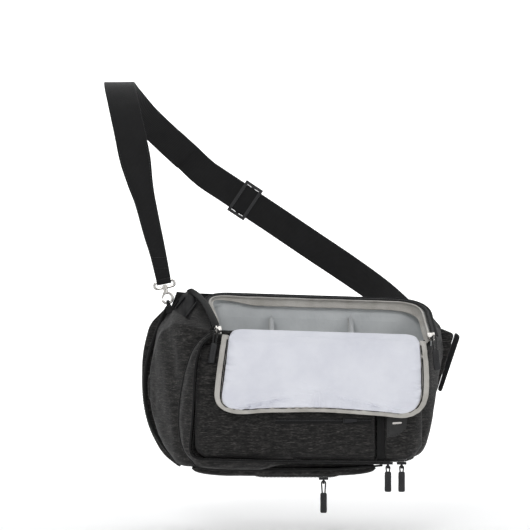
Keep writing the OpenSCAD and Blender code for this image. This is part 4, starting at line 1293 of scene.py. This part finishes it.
def pull(label, pivot, turn, drop, body, cord_node, grip_node):
    """A cord hairpin and its moulded grip with a collar, ribs and dimples, hanging from a pivot."""
    place = (Matrix.Translation(pivot) @ Matrix.Rotation(math.radians(turn[1]), 4, "Y")
             @ Matrix.Rotation(math.radians(turn[0]), 4, "X"))
    spread = 2.6
    line = [(spread, 0, -drop - 1)]
    line += [(spread * math.cos(a), 0, (spread + 0.2) * math.sin(a) - spread)
             for a in np.linspace(0, math.pi, 13)]
    line += [(-spread, 0, -drop - 1)]
    line = [(x * (1 - 0.42 * min(max(-z / drop, 0), 1)), y, z) for x, y, z in line]
    cord = sweep(even(line, 60), (0, 1, 0), circle(0.84, 10))
    build(f"{label}_cord", *cord, M["cord"], "cord", body, [cord_node], matrix=place)
    rings = []
    wide, deep = 4.0, 2.4
    for z, a, b in ((0.6, 0.55, 0.5), (0.3, 0.8, 0.75), (-0.6, 0.92, 0.92), (-2.4, 1.0, 1.0),
                    (-3.2, 0.93, 0.9), (-4.2, 1.0, 1.0), (-9, 0.97, 0.92), (-14, 0.97, 0.92),
                    (-19, 1.0, 1.0), (-21.6, 0.98, 0.98), (-22.7, 0.86, 0.86), (-23.1, 0.6, 0.6)):
        ring = []
        for k in range(24):
            t = 2 * math.pi * k / 24
            cx, sy = math.cos(t), math.sin(t)
            ring.append((wide * a * math.copysign(abs(cx) ** 0.75, cx),
                         deep * b * math.copysign(abs(sy) ** 0.8, sy), -drop - 0.2 + z))
        rings.append(ring)
    grip = (np.array(rings).reshape(-1, 3), strips(len(rings), 24))
    groups = [grip]
    for k in range(4):
        for side in (-1, 1):
            z = -drop - 6.2 - 4 * k
            centre = np.array([0, side * deep * 0.94, z])
            ring = [centre + np.array([1.35 * math.cos(t), 0, 1.35 * math.sin(t)])
                    for t in np.linspace(0, 2 * math.pi, 17)[:-1]]
            groups.append(sweep(ring, (0, side, 0), circle(0.28, 6), True))
    build(f"{label}_grip", *merged(groups), M["grip"], "grip", body, [grip_node], matrix=place)


pull("left_pull", (-98.7, -114.4, 183.1), (-4, 9), 17, "left_pull", "left_pull_cord", "left_pull_grip")
pull("right_pull", (155.5, -114.2, 175), (-2, -6), 17, "right_pull", "right_pull_cord", "right_pull_grip")
pull("lower_left_pull", (102, -112.4, 22.6), (0, 0), 7, "lower_left_pull", "lower_left_cord",
     "lower_left_grip")
pull("lower_right_pull", (118, -112.4, 22.6), (0, 0), 7, "lower_right_pull", "lower_right_cord",
     "lower_right_grip")
pull("base_pull", (27, -98, 3.3), (0, 0), 14, "base_pull", "base_pull_cord", "base_pull_grip")


# ---------- strap ----------

front_points = [
    (-165.6, -16, 241), (-172, -15.5, 271), (-179, -13, 298), (-188, -9, 335), (-194, -5, 357),
    (-201, 1, 388), (-209, 10, 424), (-217, 28, 457), (-224, 60, 482), (-226, 101, 489),
    (-220, 142, 479), (-200, 176, 452), (-168, 198.4, 421), (-145, 207.6, 400)
]
front_normals = [
    (0, -1, 0), (0, -1, 0), (0, -1, 0), (0, -1, 0.05), (0, -1, 0.1), (0, -1, 0.15),
    (-0.1, -0.9, 0.35), (-0.1, -0.7, 0.7), (-0.05, -0.25, 0.95), (0, 0.05, 1),
    (-0.05, 0.5, 0.85), (-0.15, 0.85, 0.5), (-0.1, 0.97, 0.25), (-0.1, 0.97, 0.2)
]
front_widths = [18, 20, 23, 26, 31] + [STRAP_WIDTH] * 9
back_points = [
    (-168, 201.6, 421.6), (-144, 210.8, 400), (-120, 216, 378), (-90, 216, 358), (-60, 216, 338),
    (-30, 216, 318), (20, 208, 284), (70, 188, 250), (116, 152, 216), (152, 104, 182), (171, 62, 158),
    (180, 28, 145), (183, 0.2, 140)
]
back_normals = [
    (-0.1, 0.97, 0.25), (-0.1, 0.97, 0.2), (0, 1, 0), (0, 1, 0), (0, 1, 0), (0, 1, 0), (0.15, 1, 0),
    (0.4, 0.9, 0), (0.72, 0.7, 0), (0.9, 0.4, 0), (0.97, 0.2, -0.1), (1, 0.1, -0.3), (1, 0, -0.38)
]


def webbing(path, normals, widths, thick=1.8):
    """Woven strap with rounded, slightly thicker selvedges."""
    t = thick / 2
    profile = []
    for x, h in ((-0.5, 0.35), (-0.49, 0.8), (-0.46, 1.0), (-0.42, 0.82), (-0.2, 0.84), (0, 0.86),
                 (0.2, 0.84), (0.42, 0.82), (0.46, 1.0), (0.49, 0.8), (0.5, 0.35)):
        profile.append((x, h * t))
    profile += [(x, -h) for x, h in profile[::-1]]
    return sweep(path, normals, profile, widths=widths)


front_line = smooth_line(front_points, 8)
front_up = smooth_line(front_normals, 8)
front_wide = smooth_line([[w] for w in front_widths], 8)[:, 0]
build("strap_front_webbing", *webbing(front_line, front_up, front_wide), M["black_webbing"],
      "black_webbing", "bag", ["strap_front"], 50)
back_line = smooth_line(back_points, 8)
back_up = smooth_line(back_normals, 8)
build("strap_back_webbing", *webbing(back_line, back_up, np.full(len(back_line), STRAP_WIDTH)),
      M["black_webbing"], "black_webbing", "bag", ["strap_back"], 50)


def beside(path, normals, widths, share, first, last):
    """Part of a line beside the strap's middle, at a share of its width, and its normals."""
    along, across, out = axes(path, normals)
    return (path + across * (np.asarray(widths) * share)[:, None])[first:last], out[first:last]


stitch_groups = []
for share in (-0.44, 0.44):
    p, nrm = beside(front_line, front_up, front_wide, share, 2, 44)
    stitch_groups.append(threads(p, nrm, 3.6, 2.6, 0.3, 0.95))
for row, reach in ((4, 8.5), (7, 9)):
    across_line = [front_line[row] + np.array([x, 0, 0]) for x in np.linspace(-reach, reach, 12)]
    stitch_groups.append(threads(across_line, (0, -1, 0), 2.6, 2.0, 0.35, 1.0))
build("strap_front_stitches", *merged(stitch_groups), M["thread"], "black_webbing", "bag")

RUN = Matrix.Translation((-75, 216, 348)) @ Matrix.Rotation(math.atan2(20, 30), 4, "Y")
tail_path = [(x, 4.5, 0) for x in np.linspace(-50, 42, 40)]
tail_web = webbing(tail_path, (0, 1, 0), np.full(40, STRAP_WIDTH))
fold_end = sweep([(-52, y, 0) for y in np.linspace(1.3, 5.2, 6)], (1, 0, 0),
                 [(x * STRAP_WIDTH, y) for x, y in band(1.0, 3.4)])
build("strap_tail_webbing", *merged([tail_web, fold_end]), M["black_webbing"], "black_webbing", "bag",
      ["strap_tail"], 50, RUN)
build("strap_tail_stitches", *merged([
    threads([(x, 5.4, z) for z in np.linspace(-16, 16, 10)], (0, 1, 0), 2.8, 2.1, 0.3, 0.1)
    for x in (-44, -38)]), M["thread"], "black_webbing", "bag", matrix=RUN)
keep_node("strap_adjuster", M["buckle_plastic"], 0.0008)

fold_tube = sweep([(x, 0, 0) for x in np.linspace(-8.8, 8.8, 12)], (0, 0, 1), circle(3.5, 20))
build("strap_hook_fold_webbing", *fold_tube, M["black_webbing"], "black_webbing", "bag",
      ["strap_hook_fold"], 60, HOOK)


# ---------- dividers ----------

def divider(label, x, body):
    """A padded wall across the compartment, with a line of stitches round its face."""
    o = even(soft([(-18, 32, 5), (-18, 199, 5), (-97, 164, 5), (-97, 32, 16)]), 90, True)
    plate = cushion(o, -3.0, 3.0, 0.0, 2.6, 8)
    p = np.column_stack([plate[0][:, 1] + x, plate[0][:, 0], plate[0][:, 2]])
    piece = build(f"{label}_pad", p, plate[1], M["inner_lining"], "lining", body, [label], 70)
    line = [(x - 3.1, y, z) for y, z in o * 0.96 + o.mean(0) * 0.04]
    build(f"{label}_stitches", *threads(line, (-1, 0, 0), 3.4, 2.4, 0.25, 0.0), M["light_thread"],
          "lining", body)


divider("divider_left", -34, "divider_left")
divider("divider_right", 62, "divider_right")


# ---------- stage, light and camera ----------

def stage_material(name, colour):
    s = Shader(name, 0.9, specular=0.1)
    s.bsdf.inputs["Emission Color"].default_value = (1, 1, 1, 1)
    s.bsdf.inputs["Emission Strength"].default_value = 0.22
    tone = s.grain((0.6, 0.6, 0.6), 2)
    return s.finish(s.ramp(tone, [(0.3, tuple(0.985 * c for c in colour)), (0.7, colour)]))


floor_z = -0.548
arc = [(-6.0, floor_z), (1.6, floor_z)]
arc += [(1.6 + 2.4 * math.sin(a), floor_z + 2.4 - 2.4 * math.cos(a))
        for a in np.linspace(0.05, math.pi / 2, 24)]
arc += [(4.0, 6.0)]
mesh = bpy.data.meshes.new("studio_floor")
points = [(x, y, z) for x in (-9.0, 9.0) for y, z in arc]
count = len(arc)
mesh.from_pydata(points, [], [(k, k + 1, count + k + 1, count + k) for k in range(count - 1)])
floor = bpy.data.objects.new("studio_floor", mesh)
bpy.context.scene.collection.objects.link(floor)
mesh.polygons.foreach_set("use_smooth", [True] * len(mesh.polygons))
mesh.materials.append(stage_material("studio_floor", (0.93, 0.93, 0.93)))

world = bpy.data.worlds.new("studio")
bpy.context.scene.world = world
world.use_nodes = True
world.node_tree.nodes["Background"].inputs["Color"].default_value = (0.97, 0.985, 1.0, 1)
world.node_tree.nodes["Background"].inputs["Strength"].default_value = 0.38


def lamp(name, place, aim, size, power, colour=(1, 1, 1)):
    data = bpy.data.lights.new(name, "AREA")
    data.shape = "RECTANGLE"
    data.size, data.size_y = size
    data.energy = power
    data.color = colour
    obj = bpy.data.objects.new(name, data)
    bpy.context.scene.collection.objects.link(obj)
    obj.location = place
    obj.rotation_euler = (Vector(aim) - Vector(place)).to_track_quat("-Z", "Y").to_euler()


TARGET = (0.2, -0.1, -0.3)
lamp("key", (-0.6, -2.6, 1.5), TARGET, (1.2, 1.2), 25)
lamp("fill", (1.9, -2.2, 0.5), TARGET, (1.5, 1.5), 8)
lamp("top", (0.3, 0.2, 2.2), TARGET, (2.0, 2.0), 14)
lamp("backdrop", (0.2, 1.4, 1.9), (0.2, 3.6, 0.2), (3.0, 1.5), 75)
bpy.context.scene.view_settings.view_transform = "Standard"

camera_data = bpy.data.cameras.new("camera")
camera = bpy.data.objects.new("camera", camera_data)
bpy.context.scene.collection.objects.link(camera)
camera.location = point((-42, -2650, 258))
camera.rotation_euler = (math.radians(90), 0, 0)
camera_data.lens = 36.0 * 2600 / 636
camera_data.clip_end = 50
bpy.context.scene.camera = camera
